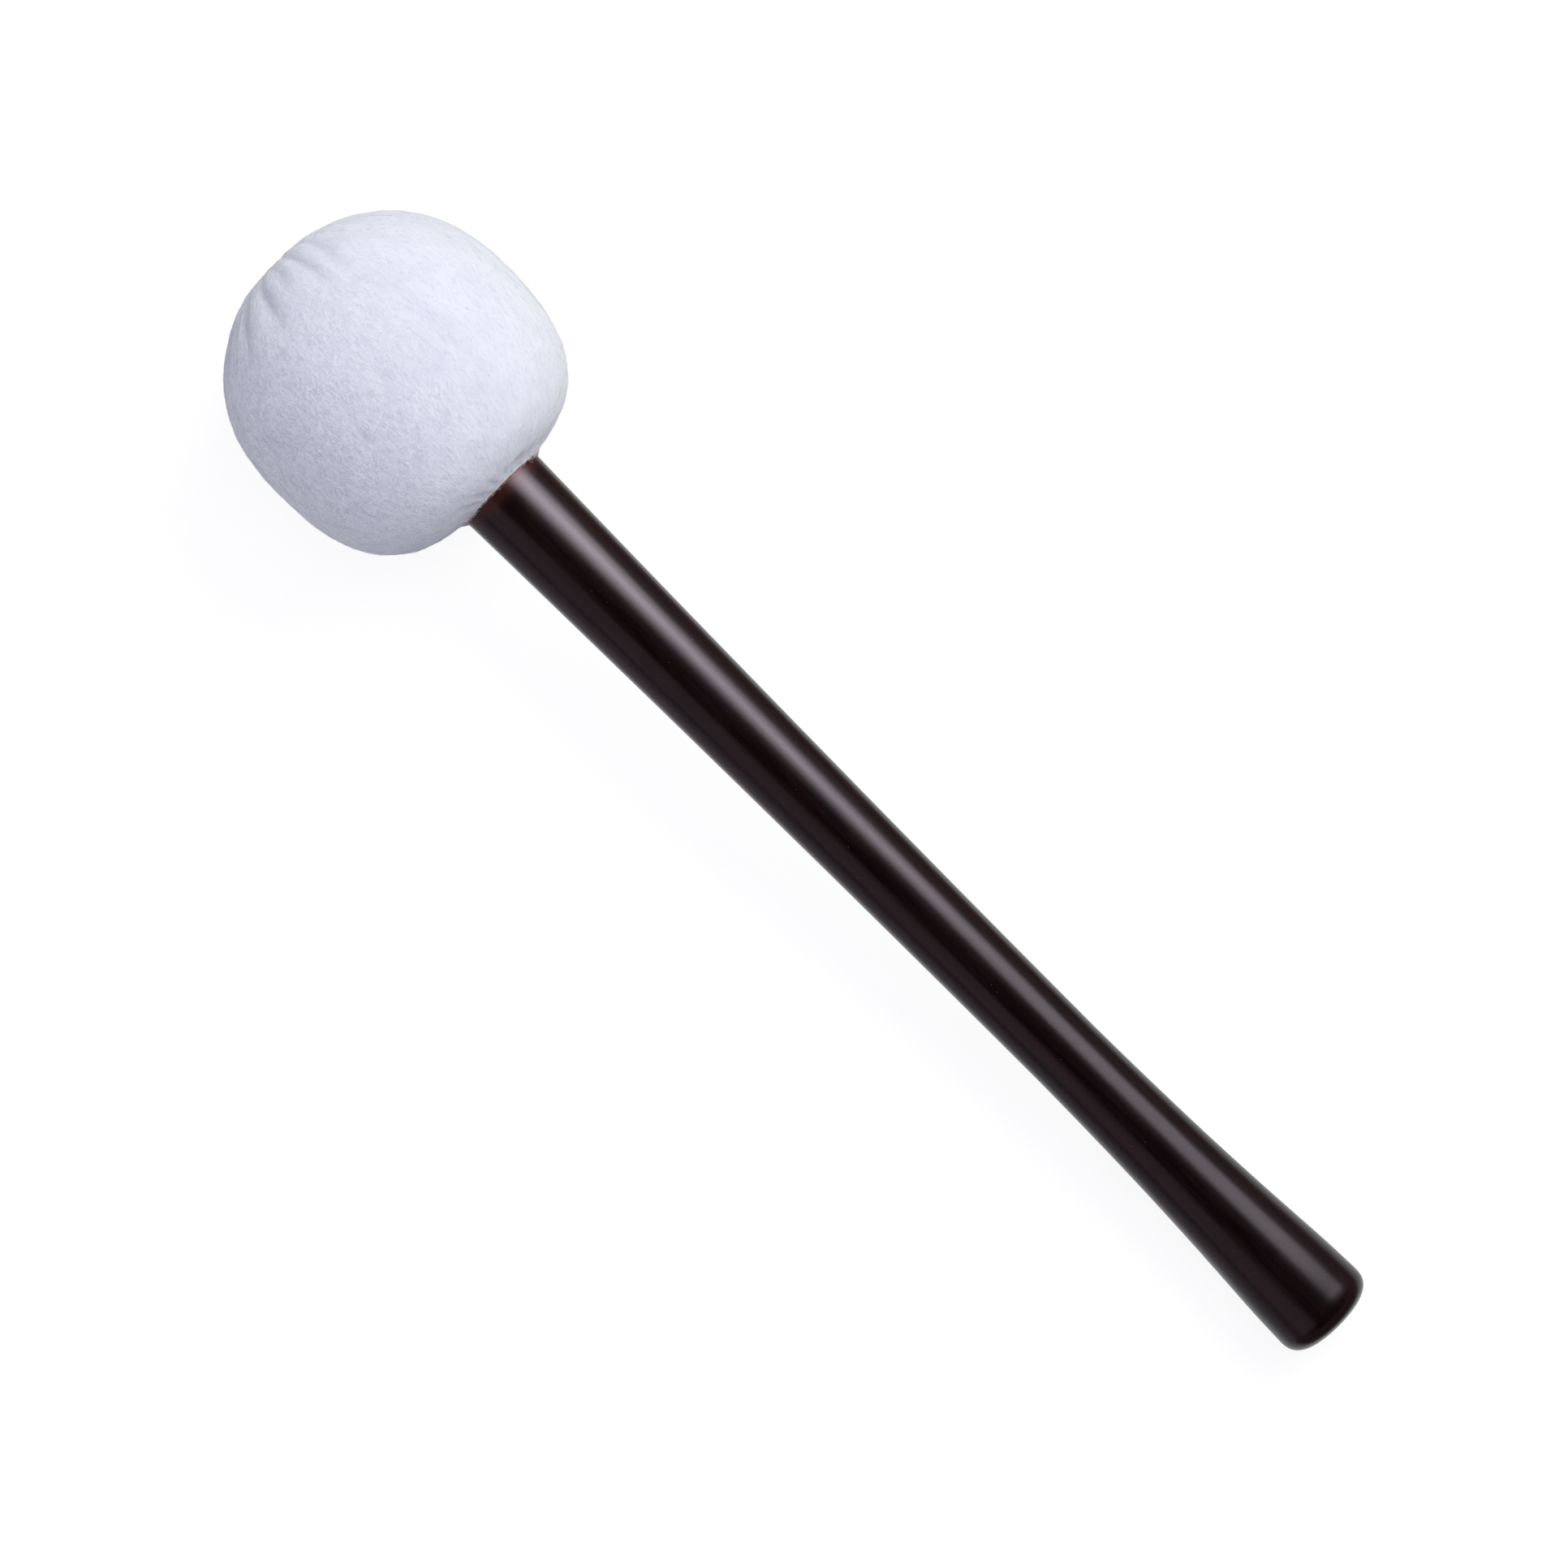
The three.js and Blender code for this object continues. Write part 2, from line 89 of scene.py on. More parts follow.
# Crown pleats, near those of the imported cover
first_pleat = math.radians(-10)
pleat_depth_shares = [
    1, 0.5, 1, 0.9, 0.35, 0.5, 0.45, 0.8, 0.6, 1, 0.5, 0.85, 0.7,
    0.4, 1, 0.6, 0.9, 0.45, 0.75, 1, 0.5, 0.8, 0.35, 0.35, 0.95,
]
pleat_shift_shares = [
    0, 0, 0.04, 0.5, 0.3, 0.05, 0.12, 0, -0.15, 0.1, 0.05, -0.08, 0.14,
    0, -0.12, 0.08, 0.15, -0.05, 0, 0.12, -0.1, 0.06, 0, -0.14, 0.1,
]
pleat_lean_degrees = [
    0, 1, 9, 4, -3, 5, -5, 3, -2, 6, -4, 2, 5, -6, 3, -2, 4, -5, 2, 6, -3, 4, -2, 3, -18,
]
pleat_count = len(pleat_depth_shares)
pleat_spacing = full_turn / pleat_count
seam_angle = math.radians(-130)
seam_channel_depth = 0.8 * mm

# Threads
gather_thread_radius = 0.35 * mm
hem_radius = tenon_radius + 2 * clearance + 2 * gather_thread_radius
neck_loops = 3
crown_loops = 2
gather_pitch = 1.2 * mm
seam_thread_radius = 0.25 * mm
seam_stitches = 24
seam_swing = 1 * mm
seam_start_radius = 12 * mm
seam_end_radius = 19 * mm

# Core, felt and padding
core_radius = 20 * mm
core_chamfer = 1.5 * mm
lining_inset = cover_thickness + clearance
padding_thickness = 6 * mm
dense_turns = 2
soft_turns = 1
dense_share = 0.5
soft_outer = head_radius - lining_inset - padding_thickness - clearance
dense_outer = core_radius + clearance + dense_share * (soft_outer - core_radius - 2 * clearance)

# The mallet's own frame
butt_mount = next(m for m in frame["record"]["mounts"] if m["name"] == "butt_end")
toward_butt = Vector(butt_mount["axis"]).normalized()
across = Vector((0, 1, 0))
above = toward_butt.cross(across)
shoulder = Vector(butt_mount["pos_m"]) - handle_length * toward_butt
turn_of_axis = Matrix((toward_butt, across, above)).transposed()
mallet_frame = Matrix.Translation(shoulder) @ turn_of_axis.to_4x4()


def placed(points):
    """Points of the mallet's own frame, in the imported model's frame."""
    return np.asarray(points, float) @ np.array(turn_of_axis).T + np.array(shoulder)


def node_span(name):
    """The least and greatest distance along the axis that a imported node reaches."""
    distances = [(v.co - shoulder).dot(toward_butt) for v in frame["nodes"][name].data.vertices]
    return min(distances), max(distances)


def new_object(name, data):
    made = bpy.data.objects.new(name, data)
    bpy.context.scene.collection.objects.link(made)
    return made


def new_mesh_object(name, points, faces, *materials):
    mesh = bpy.data.meshes.new(name)
    mesh.from_pydata(points, [], faces)
    for material in materials:
        mesh.materials.append(material)
    return new_object(name, mesh)


# Materials


def colour(red, green, blue):
    return (red, green, blue, 1)


class Nodes:
    """A node tree, with a short call for each kind of node."""

    def __init__(self, tree):
        self.tree = tree

    def set(self, node, inputs):
        for name, value in inputs.items():
            if isinstance(value, bpy.types.NodeSocket):
                self.tree.links.new(value, node.inputs[name])
            else:
                node.inputs[name].default_value = value

    def node(self, kind, inputs=(), **settings):
        made = self.tree.nodes.new("ShaderNode" + kind)
        for name, value in settings.items():
            setattr(made, name, value)
        self.set(made, dict(inputs))
        return made

    def attribute(self, name, output="Fac"):
        return self.node("Attribute", attribute_name=name).outputs[output]

    def part(self, vector, axis):
        return self.node("SeparateXYZ", {"Vector": vector}).outputs[axis]

    def mallet_place(self):
        """The place in the mallet's own frame."""
        place = self.node("TexCoord").outputs["Object"]
        inputs = {"Vector": place, "Location": shoulder, "Rotation": turn_of_axis.to_euler()}
        return self.node("Mapping", inputs, vector_type="TEXTURE").outputs["Vector"]

    def scaled(self, vector, scale):
        return self.node("Mapping", {"Vector": vector, "Scale": scale}).outputs["Vector"]

    def noise(self, vector, scale, detail=4, roughness=0.5, distortion=0):
        """Soft noise. The scale is in lumps a metre."""
        inputs = {"Vector": vector, "Scale": scale, "Detail": detail, "Roughness": roughness}
        return self.node("TexNoise", {**inputs, "Distortion": distortion}).outputs["Fac"]

    def cells(self, vector, scale, output="Distance"):
        return self.node("TexVoronoi", {"Vector": vector, "Scale": scale}).outputs[output]

    def span(self, value, low, high, to_low=0, to_high=1):
        """A smooth rise from one level to another while the value goes from low to high."""
        inputs = {0: value, 1: low, 2: high, 3: to_low, 4: to_high}
        return self.node("MapRange", inputs, interpolation_type="SMOOTHSTEP").outputs[0]

    def math(self, operation, first, second):
        return self.node("Math", {0: first, 1: second}, operation=operation).outputs[0]

    def product(self, first, second):
        return self.math("MULTIPLY", first, second)

    def total(self, first, *others):
        for other in others:
            first = self.math("ADD", first, other)
        return first

    def greatest(self, first, *others):
        for other in others:
            first = self.math("MAXIMUM", first, other)
        return first

    def swing(self, noise_value, size):
        """Noise about nought, this large from end to end."""
        return self.product(self.math("SUBTRACT", noise_value, 0.5), size)

    def mix(self, share, first, second):
        return self.node("Mix", {0: share, 6: first, 7: second}, data_type="RGBA").outputs[2]

    def bump(self, height, strength, distance):
        inputs = {"Height": height, "Strength": strength, "Distance": distance}
        return self.node("Bump", inputs).outputs["Normal"]


class Look(Nodes):
    """A material's node tree."""

    def __init__(self, name, shader=()):
        self.material = bpy.data.materials.new(name)
        self.material.use_nodes = True
        super().__init__(self.material.node_tree)
        self.shader = self.tree.nodes["Principled BSDF"]
        self.set(self.shader, dict(shader))

    def finished(self, **inputs):
        """The material, with these inputs of its shader, where _ stands for a space."""
        self.set(self.shader, {name.replace("_", " "): value for name, value in inputs.items()})
        return self.material


# Studio

photo_lens = 139.8
photo_sensor = 36
camera_distance = 1.648
aim_along = 110.7 * mm
aim_aside = 2.48 * mm


def make_camera():
    """Looks square on to the mallet's axis from above, with the axis across the picture's diagonal."""
    data = bpy.data.cameras.new("photo_camera")
    data.lens = photo_lens
    data.sensor_width = photo_sensor
    right = (toward_butt + across).normalized()
    up = (across - toward_butt).normalized()
    aim = shoulder + aim_along * toward_butt - aim_aside * across
    turn = Matrix((right, up, above)).transposed().to_4x4()
    camera = new_object("photo_camera", data)
    camera.matrix_world = Matrix.Translation(aim + camera_distance * above) @ turn
    bpy.context.scene.camera = camera


floor_side = 12
floor_colour = colour(0.73, 0.73, 0.73)
floor_glow = 0.86
floor_shade = colour(0.24, 0.24, 0.24)
card_lift = 1 * mm
# Least and greatest X and Y of each card, and its colour
floor_cards = {
    "far_card": (-0.9, 0.9, 0.05, 0.8, colour(0.22, 0.08, 0.08)),
    "butt_card": (0.22, 0.9, -0.9, 0.05, colour(0.16, 0.07, 0.08)),
    "near_card": (-0.9, 0.22, -0.9, -0.04, colour(0.95, 0.8, 0.88)),
}


def make_plane(name, left, right, near, far, height, look):
    corners = [(left, near, height), (right, near, height), (right, far, height), (left, far, height)]
    plane = new_mesh_object(name, corners, [(0, 1, 2, 3)], look.material)
    return plane


def make_floor():
    """A plain pale floor that looks white and still takes the mallet's shadow."""
    look = Look("pale_floor", {"Base Color": floor_colour, "Roughness": 1, "Specular IOR Level": 0})
    path = look.node("LightPath").outputs
    seen = look.greatest(path["Is Camera Ray"], path["Is Glossy Ray"], path["Is Transmission Ray"])
    glow = look.node("Emission", {"Color": colour(1, 1, 1), "Strength": floor_glow}).outputs[0]
    shade = look.node("BsdfDiffuse", {"Color": floor_shade}).outputs[0]
    shown = look.node("AddShader", {0: glow, 1: shade}).outputs[0]
    mixed = look.node("MixShader", {0: seen, 1: look.shader.outputs[0], 2: shown}).outputs[0]
    look.set(look.tree.nodes["Material Output"], {"Surface": mixed})
    half = floor_side / 2
    make_plane("floor", -half, half, -half, half, 0, look)


def make_floor_cards():
    """Tinted cards on the floor round the mallet, which only the lacquer's gloss shows."""
    for name, (left, right, near, far, tint) in floor_cards.items():
        look = Look(name, {"Base Color": tint, "Roughness": 1})
        card = make_plane(name, left, right, near, far, card_lift, look)
        for ray in ("camera", "diffuse", "shadow", "transmission"):
            setattr(card, "visible_" + ray, False)


horizon_light = 0.36
zenith_light = 0.015
horizon_rise = (0.05, 0.45)
studio_tint = colour(1, 0.9, 0.95)


def make_world():
    """A round studio: pale at the horizon and dark overhead."""
    world = bpy.data.worlds.new("studio")
    world.use_nodes = True
    bpy.context.scene.world = world
    nodes = Nodes(world.node_tree)
    rise = nodes.part(nodes.node("TexCoord").outputs["Generated"], "Z")
    strength = nodes.span(rise, *horizon_rise, horizon_light, zenith_light)
    nodes.set(nodes.tree.nodes["Background"], {"Color": studio_tint, "Strength": strength})


# Lamps. Both angles are in degrees, and a bearing of 0 is towards +Y, of 90 towards +X
key_light = dict(bearing=4, zenith=43, distance=1.5, size=(1, 1), radiance=4.85, tint=(0.98, 1, 0.91))
top_light = dict(bearing=180, zenith=8, distance=1.8, size=(2, 2), radiance=1.64, tint=(0.86, 0.875, 1))
low_card = dict(bearing=0, zenith=180, distance=1, size=(0.6, 0.5), radiance=0.42, tint=(0.97, 1, 0.8))
dim_shine = dict(bearing=180, zenith=55, distance=1.5, size=(2, 1.15), radiance=0.97, tint=(1, 0.79, 0.86))
low_card_aside = -0.33
low_card_rise = 2 * mm
# The bright shines lie one behind another and add up
shine_zenith = 50
shine_distance = 0.5
shine_gap = 1 * mm
shine_sizes = [(0.16, 0.52), (0.44, 0.16), (0.8, 0.38)]
shine_radiances = [7, 9.5, 7]
shine_aim_past_head = 30 * mm


def make_lamp(name, aim, bearing, zenith, distance, size, radiance, tint=(1, 1, 1)):
    """A soft box this far from the aim."""
    bearing, zenith = math.radians(bearing), math.radians(zenith)
    data = bpy.data.lights.new(name, "AREA")
    data.shape = "RECTANGLE"
    data.size, data.size_y = size
    data.energy = radiance * math.pi * size[0] * size[1]
    data.color = tint
    flat = math.sin(zenith)
    direction = Vector((flat * math.sin(bearing), flat * math.cos(bearing), math.cos(zenith)))
    side = Vector((math.cos(bearing), -math.sin(bearing), 0))
    turn = Matrix((side, direction.cross(side), direction)).transposed()
    lamp = new_object(name, data)
    lamp.matrix_world = Matrix.Translation(Vector(aim) + distance * direction) @ turn.to_4x4()
    lamp.visible_camera = False
    return lamp


def make_studio():
    """Washes light what isn't glossy, and shines are seen only in the gloss."""
    make_camera()
    make_floor()
    make_floor_cards()
    make_world()
    head = mallet_frame @ Vector((-neck_height, 0, 0))
    neck = head + Vector((shine_aim_past_head, 0, 0))
    middle = Vector((0, 0, 0))
    low_aim = Vector((head.x, low_card_aside, low_card["distance"] + low_card_rise))
    washes = [
        make_lamp("key_light", head, **key_light),
        make_lamp("top_light", middle, **top_light),
        make_lamp("low_card", low_aim, **low_card),
    ]
    for lamp in washes:
        lamp.visible_glossy = False
    shines = [make_lamp("dim_shine", middle, **dim_shine)]
    for i, (size, radiance) in enumerate(zip(shine_sizes, shine_radiances)):
        distance = shine_distance + i * shine_gap
        shines.append(make_lamp(f"shine_{i + 1}", neck, 0, shine_zenith, distance, size, radiance))
    for lamp in shines:
        lamp.visible_diffuse = False
    bpy.context.scene.view_settings.view_transform = "Standard"


# Meshes


def new_piece(name, points, faces, material, node):
    """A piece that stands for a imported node, from points in the mallet's own frame."""
    piece = new_mesh_object(name, placed(points).tolist(), faces, material)
    piece.data.polygons.foreach_set("use_smooth", [True] * len(piece.data.polygons))
    piece.data.update()
    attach(piece, "root")
    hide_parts(node)
    return piece


def set_layer(piece, name, values):
    """Gives each point a value or a vector, which a material reads by its name."""
    values = np.asarray(values, np.float32)
    kind, field = ("FLOAT_VECTOR", "vector") if values.ndim == 2 else ("FLOAT", "value")
    piece.data.attributes.new(name, kind, "POINT").data.foreach_set(field, values.ravel())


def around_axis(radius, distance, angle):
    """Points at a radius, distance along and angle round the axis, from +Z towards -Y."""
    radius, distance, angle = np.broadcast_arrays(radius, distance, angle)
    return np.stack([distance, -radius * np.sin(angle), radius * np.cos(angle)], axis=-1)


def even_angles(columns):
    return np.arange(columns) * full_turn / columns


def flipped(faces):
    return [face[::-1] for face in faces]


def grid_faces(rows, columns):
    """Faces of rows of columns of points that go round the axis."""
    faces = []
    for row in range(rows - 1):
        for column in range(columns):
            a, b = row * columns + column, row * columns + (column + 1) % columns
            faces.append((a, b, b + columns, a + columns))
    return faces


def ring_faces(first, second, first_count, second_count):
    """Faces between two rings that start at these points. The counts are equal, or one is double."""
    if first_count > second_count:
        return flipped(ring_faces(second, first, second_count, first_count))
    faces = []
    for i in range(first_count):
        here, after = first + i, first + (i + 1) % first_count
        if first_count == second_count:
            faces.append((here, after, second + (i + 1) % first_count, second + i))
        else:
            a, b, c = second + 2 * i, second + 2 * i + 1, second + (2 * i + 2) % second_count
            faces += [(here, b, a), (here, after, b), (after, c, b)]
    return faces


def capped_rings(grid, centres):
    """Points and faces of rings round the axis, closed at each end by a fan about its centre."""
    rows, sides = grid.shape[:2]
    faces = grid_faces(rows, sides)
    first = rows * sides
    for side in range(sides):
        after = (side + 1) % sides
        faces += [(first, after, side), (first + 1, first - sides + side, first - sides + after)]
    return np.vstack([grid.reshape(-1, 3), centres]), faces


def turned_grid(outline, sides):
    """Rings of points of an outline of (radius, distance)."""
    outline = np.array(outline, float)
    return around_axis(outline[:, :1], outline[:, 1:], even_angles(sides)[None, :])


def turned(outline, sides):
    """Points and faces of an outline turned about the axis; both its ends are on the axis."""
    centres = [(outline[0][1], 0, 0), (outline[-1][1], 0, 0)]
    return capped_rings(turned_grid(outline[1:-1], sides), centres)


def turned_ring(outline, sides):
    """Rings of points and faces of a closed outline turned about the axis."""
    faces = []
    for row in range(len(outline)):
        faces += ring_faces(row * sides, (row + 1) % len(outline) * sides, sides, sides)
    return turned_grid(outline, sides), faces


def unit(vectors):
    return vectors / np.linalg.norm(vectors, axis=-1, keepdims=True)


def surface_normals(grid, closed=False):
    """Outward normals of rows of points that go round the axis. Closed rows also meet end to end."""
    down = np.roll(grid, -1, axis=0) - np.roll(grid, 1, axis=0) if closed else np.gradient(grid, axis=0)
    aside = np.roll(grid, -1, axis=1) - np.roll(grid, 1, axis=1)
    return unit(np.cross(aside, down))


def run_along(points):
    """How far along its line each point lies."""
    return np.concatenate([[0], np.cumsum(np.linalg.norm(np.diff(points, axis=0), axis=1))])


def at_steps(points, run, steps):
    """Points of a line at these distances along it."""
    return np.stack([np.interp(steps, run, column) for column in points.T], axis=1)


def smooth_step(value, low, high):
    share = np.clip((value - low) / (high - low), 0, 1)
    return share * share * (3 - 2 * share)


def spread_noise(places, scale, octaves, seed):
    """Smooth noise from about -1 to 1 at each place, with its largest lumps about this wide."""
    offset = Vector((seed * 17.3, seed * 5.7, seed * 11.9))
    flat = (np.asarray(places).reshape(-1, 3) / scale).tolist()
    values = [noise.fractal(Vector(place) + offset, 1, 2, octaves) for place in flat]
    return np.array(values).reshape(np.asarray(places).shape[:-1])


def off_the_floor(points):
    """Points of the mallet's own frame, with any below the floor raised to it."""
    low = np.minimum(placed(points)[..., 2], 0)
    return points - low[..., None] * np.array(turn_of_axis)[2]


# Handle

handle_sides = 128
taper_rows = 90
flare_steps = 14
butt_steps = 24


def flare_outline():
    """Radius and distance at even steps along the flared grip, from the waist to the butt's rounding."""
    shares = np.array([flare_length_shares, flare_growth_shares], float).T
    padded = np.vstack([2 * shares[0] - shares[1], shares, 2 * shares[-1] - shares[-2]])
    outline = []
    for i in range(len(shares) - 1):
        before, start, end, after = padded[i:i + 4]
        for share in np.arange(1, flare_steps + 1) / flare_steps:
            bend = 2 * before - 5 * start + 4 * end - after + share * (3 * (start - end) + after - before)
            length, growth = start + 0.5 * share * (end - before + share * bend)
            outline.append((
                waist_radius + (butt_radius - waist_radius) * growth,
                waist_distance + (grip_end - waist_distance) * length,
            ))
    return outline


def handle_outline():
    tenon_end = node_span("handle")[0]
    pilot_end = node_span("core_screw")[1] + clearance
    outline = [(0, pilot_end), (pilot_radius, pilot_end), (pilot_radius, tenon_end)]
    outline += [(tenon_radius - tenon_chamfer, tenon_end), (tenon_radius, tenon_end + tenon_chamfer)]
    outline.append((tenon_radius, 0))
    for turn in np.linspace(0, quarter, 6):
        inset = shoulder_edge * (1 - math.sin(turn))
        outline.append((neck_radius - inset, shoulder_edge * (1 - math.cos(turn))))
    for distance in np.linspace(shoulder_edge, waist_distance, taper_rows)[1:]:
        left = (1 - distance / waist_distance) ** neck_taper_power
        outline.append((waist_radius + (neck_radius - waist_radius) * left, distance))
    outline += flare_outline()
    for turn in np.linspace(0, quarter, butt_steps)[1:-1]:
        radius = butt_radius * math.cos(turn) ** (2 / butt_round_power)
        if radius > butt_flat_radius:
            left = 1 - math.sin(turn) ** (2 / butt_round_power)
            outline.append((radius, handle_length - butt_round_length * left))
    return outline + [(butt_flat_radius, handle_length), (0, handle_length)]


lacquer_dark = colour(0.0012, 0.0004, 0.0005)
lacquer_light = colour(0.008, 0.0022, 0.0022)
lacquer_red = colour(0.04, 0.007, 0.005)
lacquer_amber = colour(0.25, 0.1, 0.055)
gloss_tint = colour(1, 0.885, 1)
speck_colour = colour(0.3, 0.27, 0.26)
red_reach = 5.5 * mm
red_waver = 4 * mm
butt_red_reach = 4 * mm
amber_reach = 0.55 * mm
amber_waver = 2 * mm
worn_sides = (-8 * mm, -3 * mm)
speck_radii = (0.13, 0.06)
marked_reach = 60 * mm
dull_reach = 70 * mm
mark_depth = 0.002 * mm
rub_depth = 0.0007 * mm
level_depth = 0.012 * mm
speck_height = 0.02 * mm


def lacquer_look():
    look = Look("dark_lacquer", {"IOR": 1.3, "Specular Tint": gloss_tint})
    place = look.mallet_place()
    distance = look.part(place, "X")
    grain = look.noise(look.scaled(place, (0.05, 1, 1)), 900, 5, 0.65, 0.3)
    cloud = look.noise(look.scaled(place, (0.3, 1, 1)), 90, 3, 0.5)
    tint = look.mix(look.span(grain, 0.3, 0.75), lacquer_dark, lacquer_light)
    # The coat is thin and red next to the shoulder, and worn to amber on its edge
    red = look.span(look.total(distance, look.swing(cloud, red_waver)), red_reach, 0, 0, 0.8)
    red = look.greatest(red, look.span(distance, grip_end - butt_red_reach, handle_length, 0, 0.07))
    tint = look.mix(red, tint, lacquer_red)
    chip = look.swing(look.noise(place, 1100, 4, 0.65), amber_waver)
    worn = look.span(look.math("SUBTRACT", distance, chip), amber_reach, 0.6 * amber_reach)
    worn = look.product(worn, look.span(look.part(place, "Y"), *worn_sides))
    tint = look.mix(worn, tint, lacquer_amber)
    # Dust under the coat
    kept = look.node("SeparateColor", {"Color": look.cells(place, 1200, "Color")}).outputs[0]
    few = look.math("GREATER_THAN", kept, 0.975)
    speck = look.product(look.span(look.cells(place, 1200), *speck_radii), few)
    tint = look.mix(look.product(speck, 0.6), tint, speck_colour)
    # Fine marks from turning and rubbing down, and a coat that isn't quite level
    marks = look.noise(look.scaled(place, (1, 0.02, 0.02)), 3800, 2, 0.5)
    rubbed = look.noise(look.scaled(place, (0.02, 1, 1)), 3000, 3, 0.6)
    level = look.noise(place, 160, 2, 0.5)
    patches = look.span(look.noise(place, 45, 2), 0.5, 0.65)
    patches = look.greatest(patches, look.span(distance, grip_end - marked_reach, grip_end, 0, 2.5))
    height = look.total(
        look.product(look.product(marks, patches), mark_depth), look.product(rubbed, rub_depth),
        look.product(level, level_depth), look.product(speck, speck_height),
    )
    dull = look.span(distance, red_reach, 0, 0, 0.06)
    dull = look.greatest(dull, look.span(distance, grip_end - dull_reach, grip_end, 0, 0.02))
    dull = look.greatest(look.product(worn, 0.3), dull)
    roughness = look.total(look.span(cloud, 0.3, 0.7, 0.25, 0.28), dull)
    return look.finished(Base_Color=tint, Roughness=roughness, Normal=look.bump(height, 1, 1))


def make_handle():
    points, faces = turned(handle_outline(), handle_sides)
    new_piece("turned_handle", points, faces, lacquer_look(), "handle")


# Fleece cover


def head_outline(turn, inset=0.0):
    """Radius and distance of the head's outline. Turn is 0 at the crown and a half turn at the neck."""
    turn = np.asarray(turn, float)
    crown_side = turn < quarter
    power = np.where(crown_side, 2 / crown_power, 2 / neck_power)
    height = np.where(crown_side, crown_height, neck_height + neck_bulge) - inset
    radius = (head_radius - inset) * np.sin(turn) ** power
    rise = height * np.abs(np.cos(turn)) ** power
    dimple = gather_depth * np.maximum(0, 1 - radius / gather_radius) ** 2
    return radius, np.where(crown_side, dimple - neck_height - rise, rise - neck_height)


def crown_turn_at(radius, inset=0.0):
    return math.asin((radius / (head_radius - inset)) ** (crown_power / 2))


def neck_turn_at(radius, inset=0.0):
    return math.pi - math.asin((radius / (head_radius - inset)) ** (neck_power / 2))


cover_rows = 200
cover_columns = 512
fine_reach = 21 * mm
coarse_reach = 10 * mm
lining_rows = 40
fold_shade_depth = 2 * mm
cover_start = crown_turn_at(crown_hole_radius)
cover_end = neck_turn_at(neck_radius + lip_width)
nap_turn_radius = 34 * mm

# Depth of a pleat in the cloth at these radii: deep by the hole, nearly gone over the rim of the crown
pleat_radii = mm * np.array([0, 4, 9, 14, 20, 25.5, 30, 34, 38.5, 44])
pleat_depths = mm * np.array([0.5, 0.8, 0.35, 0.3, 0.5, 0.95, 1, 0.6, 0.15, 0])
pleat_half_width = 2 * mm
pleat_width_share = 0.3
pleat_sharpness = 1.8
pleat_lean_radius = 30 * mm
pucker_count = 27
pucker_depth = 1.1 * mm
pucker_half_width = 1 * mm
pucker_reach = math.radians(16)
pucker_end_reach = math.radians(3)
pucker_shade_share = 1.7
lip_waver = 0.2 * mm
lip_waver_width = 2.5 * mm
lip_reach = 2.5 * mm
edge_shade = 1.1 * mm
seam_half_width = 1.1 * mm

cloth_rows = 84
cloth_columns = 200
cloth_scale = 10
cloth_steps = 20
cloth_pressure = 4
cloth_limit = 0.9 * mm
cloth_inset = 0.35 * mm
neck_fullness = 0.9 * mm
full_from = math.radians(95)
fullest = math.radians(138)

lump_height = 0.3 * mm
lump_width = 22 * mm
dent_height = 0.1 * mm
dent_width = 7 * mm
pile_height = 0.055 * mm
pile_width = 1.3 * mm
pile_stretch_share = 0.45


def pleat_angle(i):
    return first_pleat + (i + pleat_shift_shares[i % pleat_count]) * pleat_spacing


seam_line = pleat_angle(round((seam_angle - first_pleat) / pleat_spacing) % pleat_count)


def way_from(angle, line):
    """The shorter way round from one angle to another."""
    return np.abs((angle - line + half_turn) % full_turn - half_turn)


def crown_folds(turn, angle):
    """How far the crown pleats draw the cloth in."""
    radius, distance = head_outline(turn)
    widest = pleat_width_share * pleat_spacing * radius
    width = np.minimum(pleat_half_width * (0.6 + 0.5 * radius / pleat_lean_radius), widest)
    drawn = np.zeros(np.broadcast_shapes(turn.shape, angle.shape))
    for i, share in enumerate(pleat_depth_shares):
        depth = np.interp(radius / (0.8 + 0.2 * share), pleat_radii, pleat_depths)
        depth = share * np.where(distance < -neck_height, depth, 0)
        lean = math.radians(pleat_lean_degrees[i]) * np.clip(1 - radius / pleat_lean_radius, -0.2, 1)
        aside = radius * way_from(angle - lean, pleat_angle(i))
        drawn = np.maximum(drawn, depth * np.exp(-(aside / width) ** pleat_sharpness))
    return drawn


def neck_puckers(turn, angle):
    """How far the small puckers over the hem draw the cloth in."""
    noise.seed_set(7)
    radius, _ = head_outline(turn)
    drawn = np.zeros(np.broadcast_shapes(turn.shape, angle.shape))
    end_start = cover_end - pucker_end_reach
    for i in range(pucker_count):
        share = 0.35 + 0.65 * noise.random()
        place = (i + 0.8 * noise.random()) * full_turn / pucker_count
        reach = pucker_reach * (0.5 + 0.5 * noise.random())
        aside = radius * way_from(angle, place)
        fade = smooth_step(turn, cover_end - reach, end_start)
        fade = fade * (1 - 0.8 * smooth_step(turn, end_start, cover_end))
        width = pucker_half_width * (1 + share)
        drawn = np.maximum(drawn, pucker_depth * share * fade * np.exp(-(aside / width) ** 2))
    return drawn


def seam_channel(turn, angle):
    aside = head_outline(turn)[0] * way_from(angle, seam_line)
    return seam_channel_depth * np.exp(-(aside / seam_half_width) ** 2)


def even_turns(rows):
    """Turns at even steps along the cover's outline, from the crown's hole to the lip, and the steps."""
    turns = np.linspace(cover_start, cover_end, 20 * rows)
    run = run_along(np.stack(head_outline(turns), axis=1))
    steps = np.linspace(0, run[-1], rows)
    return np.interp(steps, run, turns), steps


